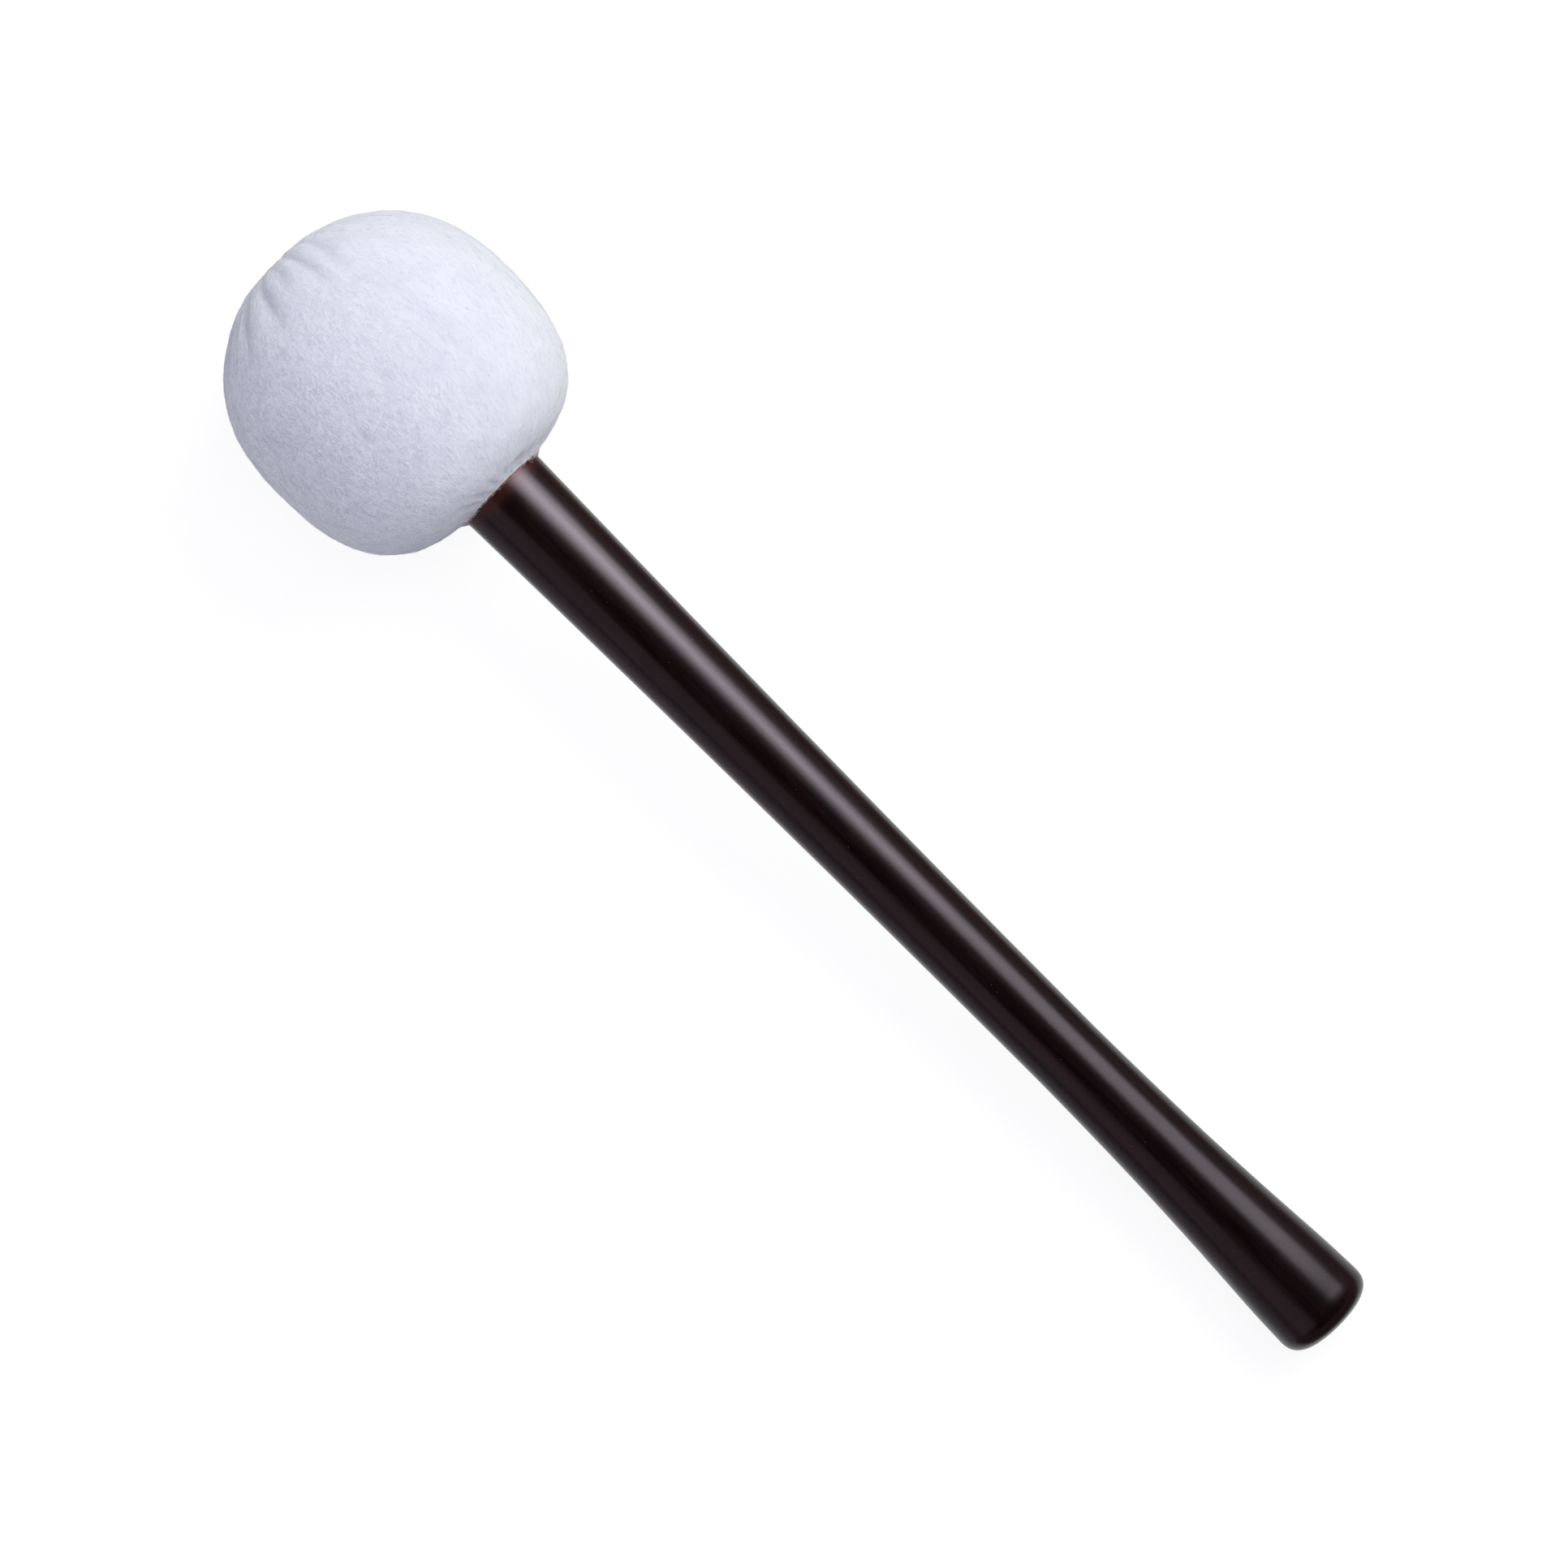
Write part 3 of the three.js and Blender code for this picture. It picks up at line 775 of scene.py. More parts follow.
def blown_cloth():
    """How far each point of the cloth moves when the stuffing presses it out between its gathers."""
    turn, angle = even_turns(cloth_rows)[0][:, None], even_angles(cloth_columns)[None, :]
    folds = crown_folds(turn, angle)
    start = around_axis(*head_outline(turn, cloth_inset + folds), angle)
    points = (start * cloth_scale).reshape(-1, 3).tolist()
    sheet = new_mesh_object("cloth", points, grid_faces(cloth_rows, cloth_columns))
    ends = np.minimum(np.arange(cloth_rows), np.arange(cloth_rows)[::-1])
    held = np.clip(np.maximum(folds / max(pleat_depths), (ends < 2)[:, None]), 0, 1).ravel()
    group = sheet.vertex_groups.new(name="held")
    for index in np.flatnonzero(held > 0.02).tolist():
        group.add([index], float(held[index]), "REPLACE")
    cloth = sheet.modifiers.new("cloth", "CLOTH")
    cloth.settings.vertex_group_mass = group.name
    cloth.settings.use_pressure = True
    cloth.settings.uniform_pressure_force = cloth_pressure
    cloth.settings.effector_weights.gravity = 0
    cloth.point_cache.frame_end = cloth_steps
    for step in range(1, cloth_steps + 1):
        bpy.context.scene.frame_set(step)
    settled = sheet.evaluated_get(bpy.context.evaluated_depsgraph_get()).data
    places = np.empty(3 * len(settled.vertices))
    settled.vertices.foreach_get("co", places)
    moved = places.reshape(start.shape) / cloth_scale - start
    bpy.context.scene.frame_set(1)
    bpy.data.objects.remove(sheet)
    length = np.linalg.norm(moved, axis=-1, keepdims=True)
    return moved * np.minimum(1, cloth_limit / np.maximum(length, cloth_limit / 100))


def cubic_weights(places, count, closed):
    """A row for each place of how much each of the evenly spaced values counts there."""
    weights = np.zeros((len(places), count))
    whole = np.floor(places).astype(int)
    part = places - whole
    shares = (
        (1 - part) ** 3 / 6,
        (3 * part ** 3 - 6 * part ** 2 + 4) / 6,
        (-3 * part ** 3 + 3 * part ** 2 + 3 * part + 1) / 6,
        part ** 3 / 6,
    )
    for offset, share in enumerate(shares):
        index = whole + offset - 1
        index = index % count if closed else np.clip(index, 0, count - 1)
        np.add.at(weights, (np.arange(len(places)), index), share)
    return weights


def resampled(field, rows, columns):
    """A field of rows and columns, at more rows and columns."""
    down = cubic_weights(np.linspace(0, field.shape[0] - 1, rows), field.shape[0], False)
    round_axis = cubic_weights(np.arange(columns) * field.shape[1] / columns, field.shape[1], True)
    return np.einsum("ri,ijk,cj->rck", down, field, round_axis, optimize=True)


def nap_places(runs, angles):
    """Places on the cover drawn out to a straight tube. The nap lies along it, in the last number."""
    return np.stack(np.broadcast_arrays(
        nap_turn_radius * np.cos(angles)[None, :], nap_turn_radius * np.sin(angles)[None, :], runs[:, None],
    ), axis=-1)


class CoverSurface:
    """The cover's outside, as rows of columns of points with their normals."""

    def __init__(self):
        self.turns, self.run = even_turns(cover_rows)
        angles = even_angles(cover_columns)
        turn, angle = self.turns[:, None], angles[None, :]
        folds = np.maximum(crown_folds(turn, angle), seam_channel(turn, angle))
        full = smooth_step(turn, full_from, fullest) * (1 - smooth_step(turn, fullest, cover_end))
        puckers = neck_puckers(turn, angle)
        outline = head_outline(turn, cloth_inset + folds + puckers - neck_fullness * full)
        grid = around_axis(*outline, angle) + resampled(blown_cloth(), cover_rows, cover_columns)
        normals = surface_normals(grid)
        self.nap = nap_places(self.run, angles)
        laid = self.nap * np.array([1, 1, pile_stretch_share])
        height = lump_height * spread_noise(grid, lump_width, 2, 1)
        height += dent_height * spread_noise(grid, dent_width, 2, 2)
        height += pile_height * spread_noise(laid, pile_width, 3, 3)
        grid = grid + normals * height[..., None]
        # The lip's edge wavers over the shoulder
        lip = 1 - smooth_step(self.run[-1] - self.run, 0, lip_reach)[:, None]
        self.waver = lip_waver * (0.5 + 0.8 * spread_noise(grid[-1], lip_waver_width, 2, 4))
        grid[..., 0] += lip * self.waver[None, :]
        self.grid = off_the_floor(grid)
        self.normals = surface_normals(self.grid)
        self.reach = np.hypot(self.grid[:, 0, 1], self.grid[:, 0, 2])
        # Painted shade: how far the fleece's colour is darkened in the pleats, in the puckers and along the
        # lip's edge
        self.folds = folds + pucker_shade_share * puckers + edge_shade * lip

    def at(self, row, angle):
        """Places and normals at parts of rows and at angles round the axis."""
        row = np.clip(row, 0, cover_rows - 1.001)
        column = angle % full_turn / full_turn * cover_columns
        top, left = np.floor(row).astype(int), np.floor(column).astype(int)
        down, aside = (row - top)[..., None], (column - left)[..., None]
        left, right = left % cover_columns, (left + 1) % cover_columns
        found = []
        for field in (self.grid, self.normals):
            upper = field[top, left] * (1 - aside) + field[top, right] * aside
            lower = field[top + 1, left] * (1 - aside) + field[top + 1, right] * aside
            found.append(upper * (1 - down) + lower * down)
        return found[0], unit(found[1])

    def at_turns(self, turns, angles):
        return self.at(np.interp(turns, self.turns, np.arange(cover_rows)), angles)


# Colour of the painted shade in the gaps between the nap's strands
fleece_gap_shade = colour(0.625, 0.645, 0.74)
fleece_shade = colour(0.81, 0.82, 0.915)
fleece_light = colour(0.86, 0.87, 0.95)
fleece_fibre = colour(0.94, 0.945, 0.99)
# Colour of the painted shade in the pleats, the puckers and along the lip's edge
fleece_painted_fold_shade = colour(0.68, 0.69, 0.79)
# The sides of the head towards and away from the key light
lit_side, shaded_side = 26 * mm, -26 * mm
pile_relief = 0.15 * mm


def fleece_look():
    look = Look("white_fleece", {
        "Roughness": 1, "Diffuse Roughness": 0.6, "Specular IOR Level": 0.1,
        "Sheen Weight": 0.15, "Sheen Roughness": 0.35,
    })
    nap = look.attribute("nap", "Vector")
    strands = look.noise(look.scaled(nap, (1, 1, 0.24)), 2700, 4, 0.6, 1)
    crossing = look.noise(look.scaled(nap, (0.4, 1, 0.7)), 2700, 3, 0.6, 0.6)
    tufts = look.noise(look.scaled(nap, (1, 1, 0.35)), 900, 4, 0.6, 0.5)
    clouds = look.noise(look.scaled(nap, (1, 1, 0.6)), 170, 3, 0.5, 0.3)
    tone = look.mix(look.span(clouds, 0.3, 0.7), fleece_shade, fleece_light)
    # Painted shade in the pleats and puckers and along the lip's edge
    tone = look.mix(look.attribute("painted_fold_shade"), tone, fleece_painted_fold_shade)
    # Painted shade and light: the gaps between the strands are painted dark and the strands pale, much more
    # strongly on the -Y side, away from the key light, than on the lit side
    side = look.part(look.mallet_place(), "Y")
    painted_shade_contrast = look.span(side, lit_side, shaded_side, 0.12, 1)
    painted_shade_contrast = look.product(painted_shade_contrast, look.span(look.noise(nap, 330, 3, 0.55), 0.35, 0.65, 0.6, 1.15))
    hairs = look.greatest(strands, look.product(crossing, 0.96))
    hairs = look.total(hairs, look.swing(tufts, 0.3))
    tone = look.mix(look.product(look.span(hairs, 0.58, 0.42), painted_shade_contrast), tone, fleece_gap_shade)
    tone = look.mix(look.product(look.span(hairs, 0.56, 0.7), painted_shade_contrast), tone, fleece_fibre)
    height = look.total(look.product(hairs, 0.8), tufts)
    height = look.product(height, look.span(side, lit_side, shaded_side, 0.13, 0.85))
    return look.finished(Base_Color=tone, Normal=look.bump(height, 1, pile_relief))


lip_fall = 0.12 * mm
lip_foot = 0.05 * mm


def lining_outline():
    """Radius and distance of the cover's hem at the shoulder and of its inside."""
    hem = [
        (neck_radius + 0.8 * lip_width, lip_fall),
        (neck_radius + 0.5 * lip_width, lip_foot),
        (neck_radius + clearance, -clearance / 2),
        (neck_radius, -clearance),
        (tenon_radius + 3 * clearance, -clearance),
        (hem_radius, -1.5 * clearance),
    ]
    start = neck_turn_at(hem_radius, cover_thickness)
    end = crown_turn_at(crown_hole_radius, cover_thickness)
    return hem + list(zip(*head_outline(np.linspace(start, end, lining_rows), cover_thickness)))


def make_cover(surface):
    """The fleece as a closed shell: its outside, its hem at the shoulder and its lining."""
    rings, naps, folds = [], [], []
    for row, reach in enumerate(surface.reach):
        stride = 1 if reach > fine_reach else 2 if reach > coarse_reach else 4
        rings.append(surface.grid[row, ::stride])
        naps.append(surface.nap[row, ::stride])
        folds.append(surface.folds[row, ::stride])
    for i, (radius, distance) in enumerate(lining_outline()):
        columns = cover_columns // (2 if i < 2 else 4)
        ring = around_axis(radius, distance, even_angles(columns))
        ring[:, 0] += max(0, 1 - i / 2) * surface.waver[::cover_columns // columns]
        rings.append(ring)
        naps.append(nap_places(np.array([surface.run[-1] + (i + 1) * mm]), even_angles(columns))[0])
        folds.append(np.full(columns, edge_shade))
    counts = [len(ring) for ring in rings]
    starts = np.concatenate([[0], np.cumsum(counts)]).tolist()
    faces = []
    for i in range(len(rings)):
        after = (i + 1) % len(rings)
        faces += ring_faces(starts[i], starts[after], counts[i], counts[after])
    piece = new_piece("napped_cover", np.vstack(rings), faces, fleece_look(), "fleece_cover")
    set_layer(piece, "nap", np.vstack(naps))
    # How much painted shade each point takes, in the folds, the puckers and by the lip's edge
    set_layer(piece, "painted_fold_shade", np.clip(np.concatenate(folds) / fold_shade_depth, 0, 1))


# Loose fibres of the fleece

fibre_steps = 4
fibre_sides = 3
nap_pieces = 3
fibres_in_piece = 9000
fibre_radius = 0.03 * mm
fibre_length = 1.2 * mm
fibre_extra_length = 2.6 * mm
fibre_height = 0.02 * mm
fibre_extra_height = 0.04 * mm
fibre_raise = 0.3 * mm
fibre_root = 0.1 * mm
least_fibre_reach = 4 * mm
fibre_relief = 0.02 * mm
shares_along = np.linspace(0, 1, fibre_steps + 1)

hem_fibres = 1500
hem_fibre_radius = 0.043 * mm
hem_fibre_root = 0.1 * mm
hem_bunches = 170
hem_bunch_spread = math.radians(3)
hem_rows = 6
hem_run_start = -0.9 * mm
hem_run = 1.6 * mm
hem_reach = 0.25 * mm
hem_extra_reach = 1.1 * mm
hem_swing = 0.45 * mm
hem_curl = 0.7 * mm
hem_lift = 0.02 * mm
hem_extra_lift = 0.3 * mm
hem_fibre_pale = colour(0.93, 0.87, 0.9)
hem_fibre_red = colour(0.72, 0.58, 0.57)
# Angle in degrees, and length and bend in millimetres, of the longer hairs that curl over the lacquer
hem_curls = [
    (-56, 3.2, 1.6), (-50, 2.6, -1.2), (0, 2.2, 1.4), (5, 1.6, -1), (33, 1.5, 0.9), (-24, 1.4, 1.2),
    (110, 2.4, 1.3), (175, 2.8, -1.4), (-130, 2.2, 1.1),
]


def fibre_look(name, first, second):
    look = Look(name, {
        "Roughness": 0.9, "Diffuse Roughness": 0.6, "Specular IOR Level": 0.15,
        "Sheen Weight": 0.15, "Sheen Roughness": 0.5,
    })
    place = look.mallet_place()
    streak = look.noise(look.scaled(place, (0.3, 1, 1)), 2500, 3, 0.6)
    tone = look.mix(look.attribute("shade"), first, second)
    tone = look.mix(look.span(streak, 0.35, 0.65, 0, 0.35), tone, first)
    return look.finished(Base_Color=tone, Normal=look.bump(look.noise(place, 9000, 2), 0.5, fibre_relief))


def fibre_faces(count):
    """Faces of fibres of equal build: a closed foot, triangular rings and a pointed tip."""
    size = fibre_steps * fibre_sides + 1
    one = [tuple(range(fibre_sides)), *flipped(grid_faces(fibre_steps, fibre_sides))]
    last = (fibre_steps - 1) * fibre_sides
    one += [(last + (side + 1) % fibre_sides, last + side, size - 1) for side in range(fibre_sides)]
    return [tuple(size * i + corner for corner in face) for i in range(count) for face in one]


def fibre_points(spines, normals, radii):
    """Rings round the spines (fibres, steps + 1, 3), with the tip's single point last."""
    tangents = unit(np.gradient(spines, axis=1))
    side = unit(np.cross(tangents, normals[:, None]))
    up = np.cross(side, tangents)
    radius = radii[:, None, None] * (1 - 0.6 * shares_along[None, :-1, None])
    rings = []
    for angle in even_angles(fibre_sides):
        swung = math.cos(angle) * side[:, :-1] + math.sin(angle) * up[:, :-1]
        rings.append(spines[:, :-1] + radius * swung)
    rings = np.stack(rings, axis=2).reshape(len(spines), -1, 3)
    return np.concatenate([rings, spines[:, -1:]], axis=1)


def make_fibres(name, spines, normals, radii, shades, spots, material):
    """A piece of many fibres. Spots are where each one's patch of the colour map lies."""
    points = fibre_points(spines, normals, radii)
    count, size = points.shape[:2]
    flat = off_the_floor(points).reshape(-1, 3)
    piece = new_piece(name, flat, fibre_faces(count), material, "fleece_cover")
    set_layer(piece, "shade", np.repeat(shades, size))
    corner_points = np.empty(len(piece.data.loops), int)
    piece.data.loops.foreach_get("vertex_index", corner_points)
    fibre, corner = np.divmod(corner_points, size)
    step, side = np.divmod(corner, fibre_sides)
    spread = np.stack([side / fibre_sides, step / fibre_steps], axis=1)
    layer = piece.data.uv_layers.new(name="OFBake")
    places = spots[fibre] + 0.8 / math.sqrt(count) * spread
    layer.data.foreach_set("uv", places.astype(np.float32).ravel())


def make_nap(surface, name, seed, material):
    """Fibres that lie over the cloth, a few of them raised, most along the nap."""
    draw = np.random.default_rng(seed)
    count = fibres_in_piece
    rows = np.arange(cover_rows)
    weight = np.cumsum(surface.reach)
    row = np.interp(draw.random(count) * weight[-1], weight, rows)
    angle = draw.random(count) * full_turn
    length = fibre_length + fibre_extra_length * draw.random(count) ** 1.5
    raised = draw.random(count) ** 9
    height = fibre_height + fibre_extra_height * draw.random(count) + fibre_raise * raised
    heading = draw.normal(0, 0.5, count) + half_turn * (draw.random(count) < 0.3)
    bend = draw.normal(0, 0.9, count)
    reach = np.maximum(surface.reach, least_fibre_reach)
    spines = []
    for share in shares_along:
        way = length * (share - 0.5)
        turn = heading + bend * (share - 0.5)
        down = row + way * np.cos(turn) / surface.run[1]
        place, normal = surface.at(down, angle + way * np.sin(turn) / np.interp(down, rows, reach))
        lift = height * (math.sin(math.pi * (0.08 + 0.75 * share)) + 0.9 * raised * share)
        if share == 0:
            first_normal = normal
            lift = lift - fibre_root
        spines.append(place + lift[:, None] * normal)
    spines = np.stack(spines, axis=1)
    spots = np.stack([angle / full_turn, row / cover_rows], axis=1) * 0.98
    radii = fibre_radius * (0.6 + 0.8 * draw.random(count))
    make_fibres(name, spines, first_normal, radii, draw.random(count), spots, material)


def hem_feet(surface, columns, runs):
    """Distances and radii of the hem hairs' feet, each this far along the cloth past its edge."""
    feet = []
    for column, run in zip(columns, runs):
        near = surface.grid[-hem_rows:, column]
        distance = np.append(near[:, 0], near[-1, 0])
        radius = np.append(np.hypot(near[:, 1], near[:, 2]), neck_radius + lip_width / 3)
        steps = run_along(np.stack([distance, radius], axis=1))
        steps -= steps[hem_rows - 1]
        feet.append((np.interp(run, steps, distance), np.interp(run, steps, radius)))
    return np.array(feet).T


def make_hem_fibres(surface, material):
    """Hairs that start in the fleece by its edge and stray over the lacquer, and some longer curls."""
    draw = np.random.default_rng(11)
    count = hem_fibres
    bunches = draw.random(hem_bunches) * full_turn
    angle = bunches[draw.integers(hem_bunches, size=count)] + draw.normal(0, hem_bunch_spread, count)
    run = hem_run * draw.random(count) + hem_run_start
    reach = hem_reach + hem_extra_reach * draw.random(count) ** 2
    swing, curl = draw.normal(0, hem_swing, count), draw.normal(0, hem_curl, count)
    lift = hem_lift + hem_extra_lift * draw.random(count) ** 2
    for i, (degrees, length, bend) in enumerate(hem_curls):
        angle[i], reach[i], run[i] = math.radians(degrees), 0.7 * length * mm, 0
        swing[i], curl[i] = -0.6 * bend * mm, 1.3 * bend * mm
    columns = (angle % full_turn / full_turn * cover_columns).astype(int) % cover_columns
    distance, radius = hem_feet(surface, columns, run)
    share = shares_along[None, :]
    past_edge = surface.grid[-1, columns, 0] + reach - distance
    along = distance[:, None] + past_edge[:, None] * share
    over = neck_radius + hem_fibre_radius + lift
    fall = radius[:, None] + (over - radius)[:, None] * np.minimum(1, 1.3 * share) ** 1.5
    fall[:, 0] -= hem_fibre_root
    aside = (swing[:, None] * share + curl[:, None] * share ** 2) / neck_radius
    spines = around_axis(fall, along, angle[:, None] + aside)
    spots = np.stack([angle % full_turn / full_turn, draw.random(count)], axis=1) * 0.9
    radii = hem_fibre_radius * (0.7 + 0.6 * draw.random(count))
    shades = draw.random(count) ** 0.5
    make_fibres("hem_fibres", spines, around_axis(1.0, 0.0, angle), radii, shades, spots, material)


# Threads

ply_count = 3
ply_sides = 6
ply_share = 0.45
twist_share = 5.2
twist_steps = 10
thread_tone = colour(0.66, 0.665, 0.7)
thread_shade = colour(0.5, 0.5, 0.53)
thread_relief = 0.04 * mm


def thread_look():
    look = Look("waxed_thread", {"Roughness": 0.7, "Sheen Weight": 0.2, "Specular IOR Level": 0.35})
    place = look.mallet_place()
    fuzz = look.noise(place, 5200, 4, 0.7)
    worn = look.noise(place, 420, 3, 0.6)
    tone = look.mix(look.span(fuzz, 0.3, 0.7), thread_shade, thread_tone)
    tone = look.mix(look.span(worn, 0.4, 0.7, 0, 0.3), tone, fleece_fibre)
    return look.finished(Base_Color=tone, Normal=look.bump(fuzz, 0.8, thread_relief))


def tube(path, frame_side, frame_up, radius, sides):
    """Points and faces of a round tube with tapered, closed ends."""
    count = len(path)
    taper = np.minimum(1, 0.45 + 0.3 * np.minimum(np.arange(count), np.arange(count)[::-1]))[:, None, None]
    cos, sin = np.cos(even_angles(sides))[:, None], np.sin(even_angles(sides))[:, None]
    ring = cos * frame_side[:, None] + sin * frame_up[:, None]
    faces = flipped(grid_faces(count, sides))
    faces += [tuple(range(sides)), tuple((count - 1) * sides + side for side in reversed(range(sides)))]
    return (path[:, None] + radius * taper * ring).reshape(-1, 3), faces


def make_thread(name, node, points, ups, radius, material):
    """A thread of twisted plies along a path."""
    twist = twist_share * radius
    run = run_along(points)
    steps = np.linspace(0, run[-1], max(2, round(run[-1] / (twist / twist_steps))))
    path, up = at_steps(points, run, steps), at_steps(ups, run, steps)
    along = unit(np.gradient(path, axis=0))
    side = unit(np.cross(along, unit(up)))
    up = np.cross(side, along)
    ply_radius = ply_share * radius
    all_points, all_faces = [], []
    for ply in range(ply_count):
        angle = full_turn * (steps / twist + ply / ply_count)
        swung = np.cos(angle)[:, None] * side + np.sin(angle)[:, None] * up
        centre = path + (radius - ply_radius) * swung
        ply_along = unit(np.gradient(centre, axis=0))
        ply_side = unit(np.cross(ply_along, swung))
        ply_points, ply_faces = tube(centre, ply_side, np.cross(ply_side, ply_along), ply_radius, ply_sides)
        start = len(ply_points) * ply
        all_points.append(ply_points)
        all_faces += [tuple(start + corner for corner in face) for face in ply_faces]
    new_piece(name, np.vstack(all_points), all_faces, material, node)


def raised_path(surface, turns, angles, least_lift, bridge):
    """A path over the outline, lifted to clear the cloth. Where the cloth dips it spans the gap."""
    place, normal = surface.at_turns(turns, angles)
    radius, distance = head_outline(turns)
    flat = around_axis(radius, distance, angles)
    out = np.sum((place - flat) * normal, axis=1)
    widest = np.max([out, *(np.roll(out, shift) for shift in range(-bridge, bridge + 1))], axis=0)
    kernel = np.hanning(2 * bridge + 3)
    padded = np.pad(widest, bridge + 1, mode="edge")
    smooth = np.convolve(padded, kernel / kernel.sum(), mode="valid")
    growth, advance = np.gradient(radius), np.gradient(distance)
    length = np.hypot(growth, advance)
    outward = around_axis(-advance / length, growth / length, angles)
    outward *= np.sign(np.sum(outward * normal, axis=1))[:, None]
    return flat + (smooth + least_lift)[:, None] * outward, outward


def make_threads(surface):
    material = thread_look()
    # The cover's hem is drawn in round the tenon
    share = np.linspace(0, 1, 600)
    angle = full_turn * neck_loops * share
    distance = -clearance - gather_thread_radius - gather_pitch * neck_loops * share
    route = around_axis(tenon_radius + clearance + gather_thread_radius, distance, angle)
    outward = around_axis(1.0, 0.0, angle)
    make_thread("drawn_neck_thread", "neck_gather_thread", route, outward, gather_thread_radius, material)
    # Its crown is drawn in round the hole
    share = np.linspace(0, 1, 900)
    radius = crown_hole_radius + gather_thread_radius + gather_pitch * crown_loops * share
    turns = np.arcsin((radius / head_radius) ** (crown_power / 2))
    angle = full_turn * crown_loops * share
    route, outward = raised_path(surface, turns, angle, 0.8 * gather_thread_radius, 10)
    make_thread("drawn_crown_thread", "crown_gather_thread", route, outward, gather_thread_radius, material)
    # Its seam is sewn in a zigzag, from the crown to the neck
    share = np.linspace(0, 1, 40 * seam_stitches)
    turns = np.interp(share, [0, 1], [crown_turn_at(seam_start_radius), neck_turn_at(seam_end_radius)])
    swing = seam_swing * np.sin(full_turn * seam_stitches * share)
    place, normal = surface.at_turns(turns, seam_line + swing / head_outline(turns)[0])
    lift = seam_thread_radius * (0.7 + 0.9 * (1 - np.abs(swing) / seam_swing))
    route = place + lift[:, None] * normal
    make_thread("cover_seam_stitching", "cover_seam_thread", route, normal, seam_thread_radius, material)


# Core, felt and padding

felt_step = 0.9 * mm
roll_step = 1.1 * mm
roll_bevel = 0.8 * mm
felt_relief = (0.12 * mm, 3 * mm)
padding_relief = (0.35 * mm, 5 * mm)
felt_sides = 140
padding_sides = 260
disc_start = 0.5 * mm
disc_rows = 40
band_rows = 120
# Pale and dark colour, noise scale and relief of each felt's look
dense_wool = (colour(0.72, 0.69, 0.6), colour(0.52, 0.49, 0.42), 2200, 0.15 * mm)
soft_wool = (colour(0.82, 0.79, 0.71), colour(0.63, 0.6, 0.52), 1600, 0.25 * mm)
cotton_wad = (colour(0.9, 0.9, 0.89), colour(0.72, 0.72, 0.72), 1000, 0.5 * mm)


def rounded(outline, closed, times=2):
    """An outline with its corners cut round."""
    points = np.array(outline, float)
    for _ in range(times):
        after = np.roll(points, -1, axis=0)
        cut = np.stack([0.75 * points + 0.25 * after, 0.25 * points + 0.75 * after], axis=1).reshape(-1, 2)
        points = cut if closed else np.vstack([points[:1], cut[:-2], points[-1:]])
    return points


def evened(outline, step, closed):
    """An outline at even steps."""
    points = np.array(outline, float)
    if closed:
        points = np.vstack([points, points[:1]])
    run = run_along(points)
    count = max(3, round(run[-1] / step))
    steps = np.linspace(0, run[-1], count + 1)[:count if closed else None]
    return at_steps(points, run, steps)


def bevelled(outline, reach):
    """A closed outline with its corners cut off this far from them."""
    corners = []
    for i, corner in enumerate(outline):
        here = np.array(corner, float)
        for other in (outline[i - 1], outline[(i + 1) % len(outline)]):
            corners.append(here + reach * unit(np.array(other) - here))
    return corners


def sunk_by_noise(points, normals, relief, seed):
    """Points moved inwards, so that the surface is soft and uneven. Relief is its depth and width."""
    depth, width = relief
    level = 0.5 + 0.5 * np.clip(spread_noise(points, width, 3, seed), -1, 1)
    return points - depth * level[..., None] * normals


def make_round_felt(name, node, outline, sides, relief, material, slot, fill):
    """A felt ring or disc, turned from an outline. An outline that starts on the axis is a disc."""
    disc = outline[0][0] == 0
    smooth = evened(rounded(outline, not disc), felt_step, not disc)
    if disc:
        points, faces = turned(smooth, sides)
        grid, ends = points[:-2].reshape(-1, sides, 3), points[-2:]
    else:
        grid, faces = turned_ring(smooth, sides)
        ends = np.empty((0, 3))
    sunk = sunk_by_noise(grid, surface_normals(grid, not disc), relief, len(name))
    piece = new_piece(name, np.vstack([sunk.reshape(-1, 3), ends]), faces, material, node)


def make_felt_roll(name, node, inner_radius, outer_radius, turns, material, slot, fill):
    """A strip of felt wound in a spiral, with round edges and ends."""
    crown_end, neck_end = node_span(node)
    thickness = (outer_radius - inner_radius - turns * clearance) / (turns + 1)
    box = [(0, crown_end), (thickness, crown_end), (thickness, neck_end), (0, neck_end)]
    corners = bevelled(box, min(roll_bevel, 0.3 * thickness))
    section = evened(rounded(corners, True, 1), roll_step, True)
    steps = round(turns * full_turn * 0.5 * (inner_radius + outer_radius) / roll_step)
    angle = np.linspace(0, turns * full_turn, steps + 1)
    ends = np.minimum(np.arange(steps + 1), np.arange(steps + 1)[::-1])
    tuck = np.interp(ends, [0, 1, 2], [0.5 * thickness, 0.15 * thickness, 0])
    middle = section.mean(axis=0)
    offset = section - middle
    shape = middle + offset[None] * (1 - tuck[:, None, None] / np.abs(offset).max(axis=0))
    radius = inner_radius + (thickness + clearance) * angle[:, None] / full_turn + shape[:, :, 0]
    grid = around_axis(radius, shape[:, :, 1], angle[:, None])
    grid = sunk_by_noise(grid, -surface_normals(grid), felt_relief, turns)
    points, faces = capped_rings(grid, grid[[0, -1]].mean(axis=1))
    new_piece(name, points, flipped(faces), material, node)


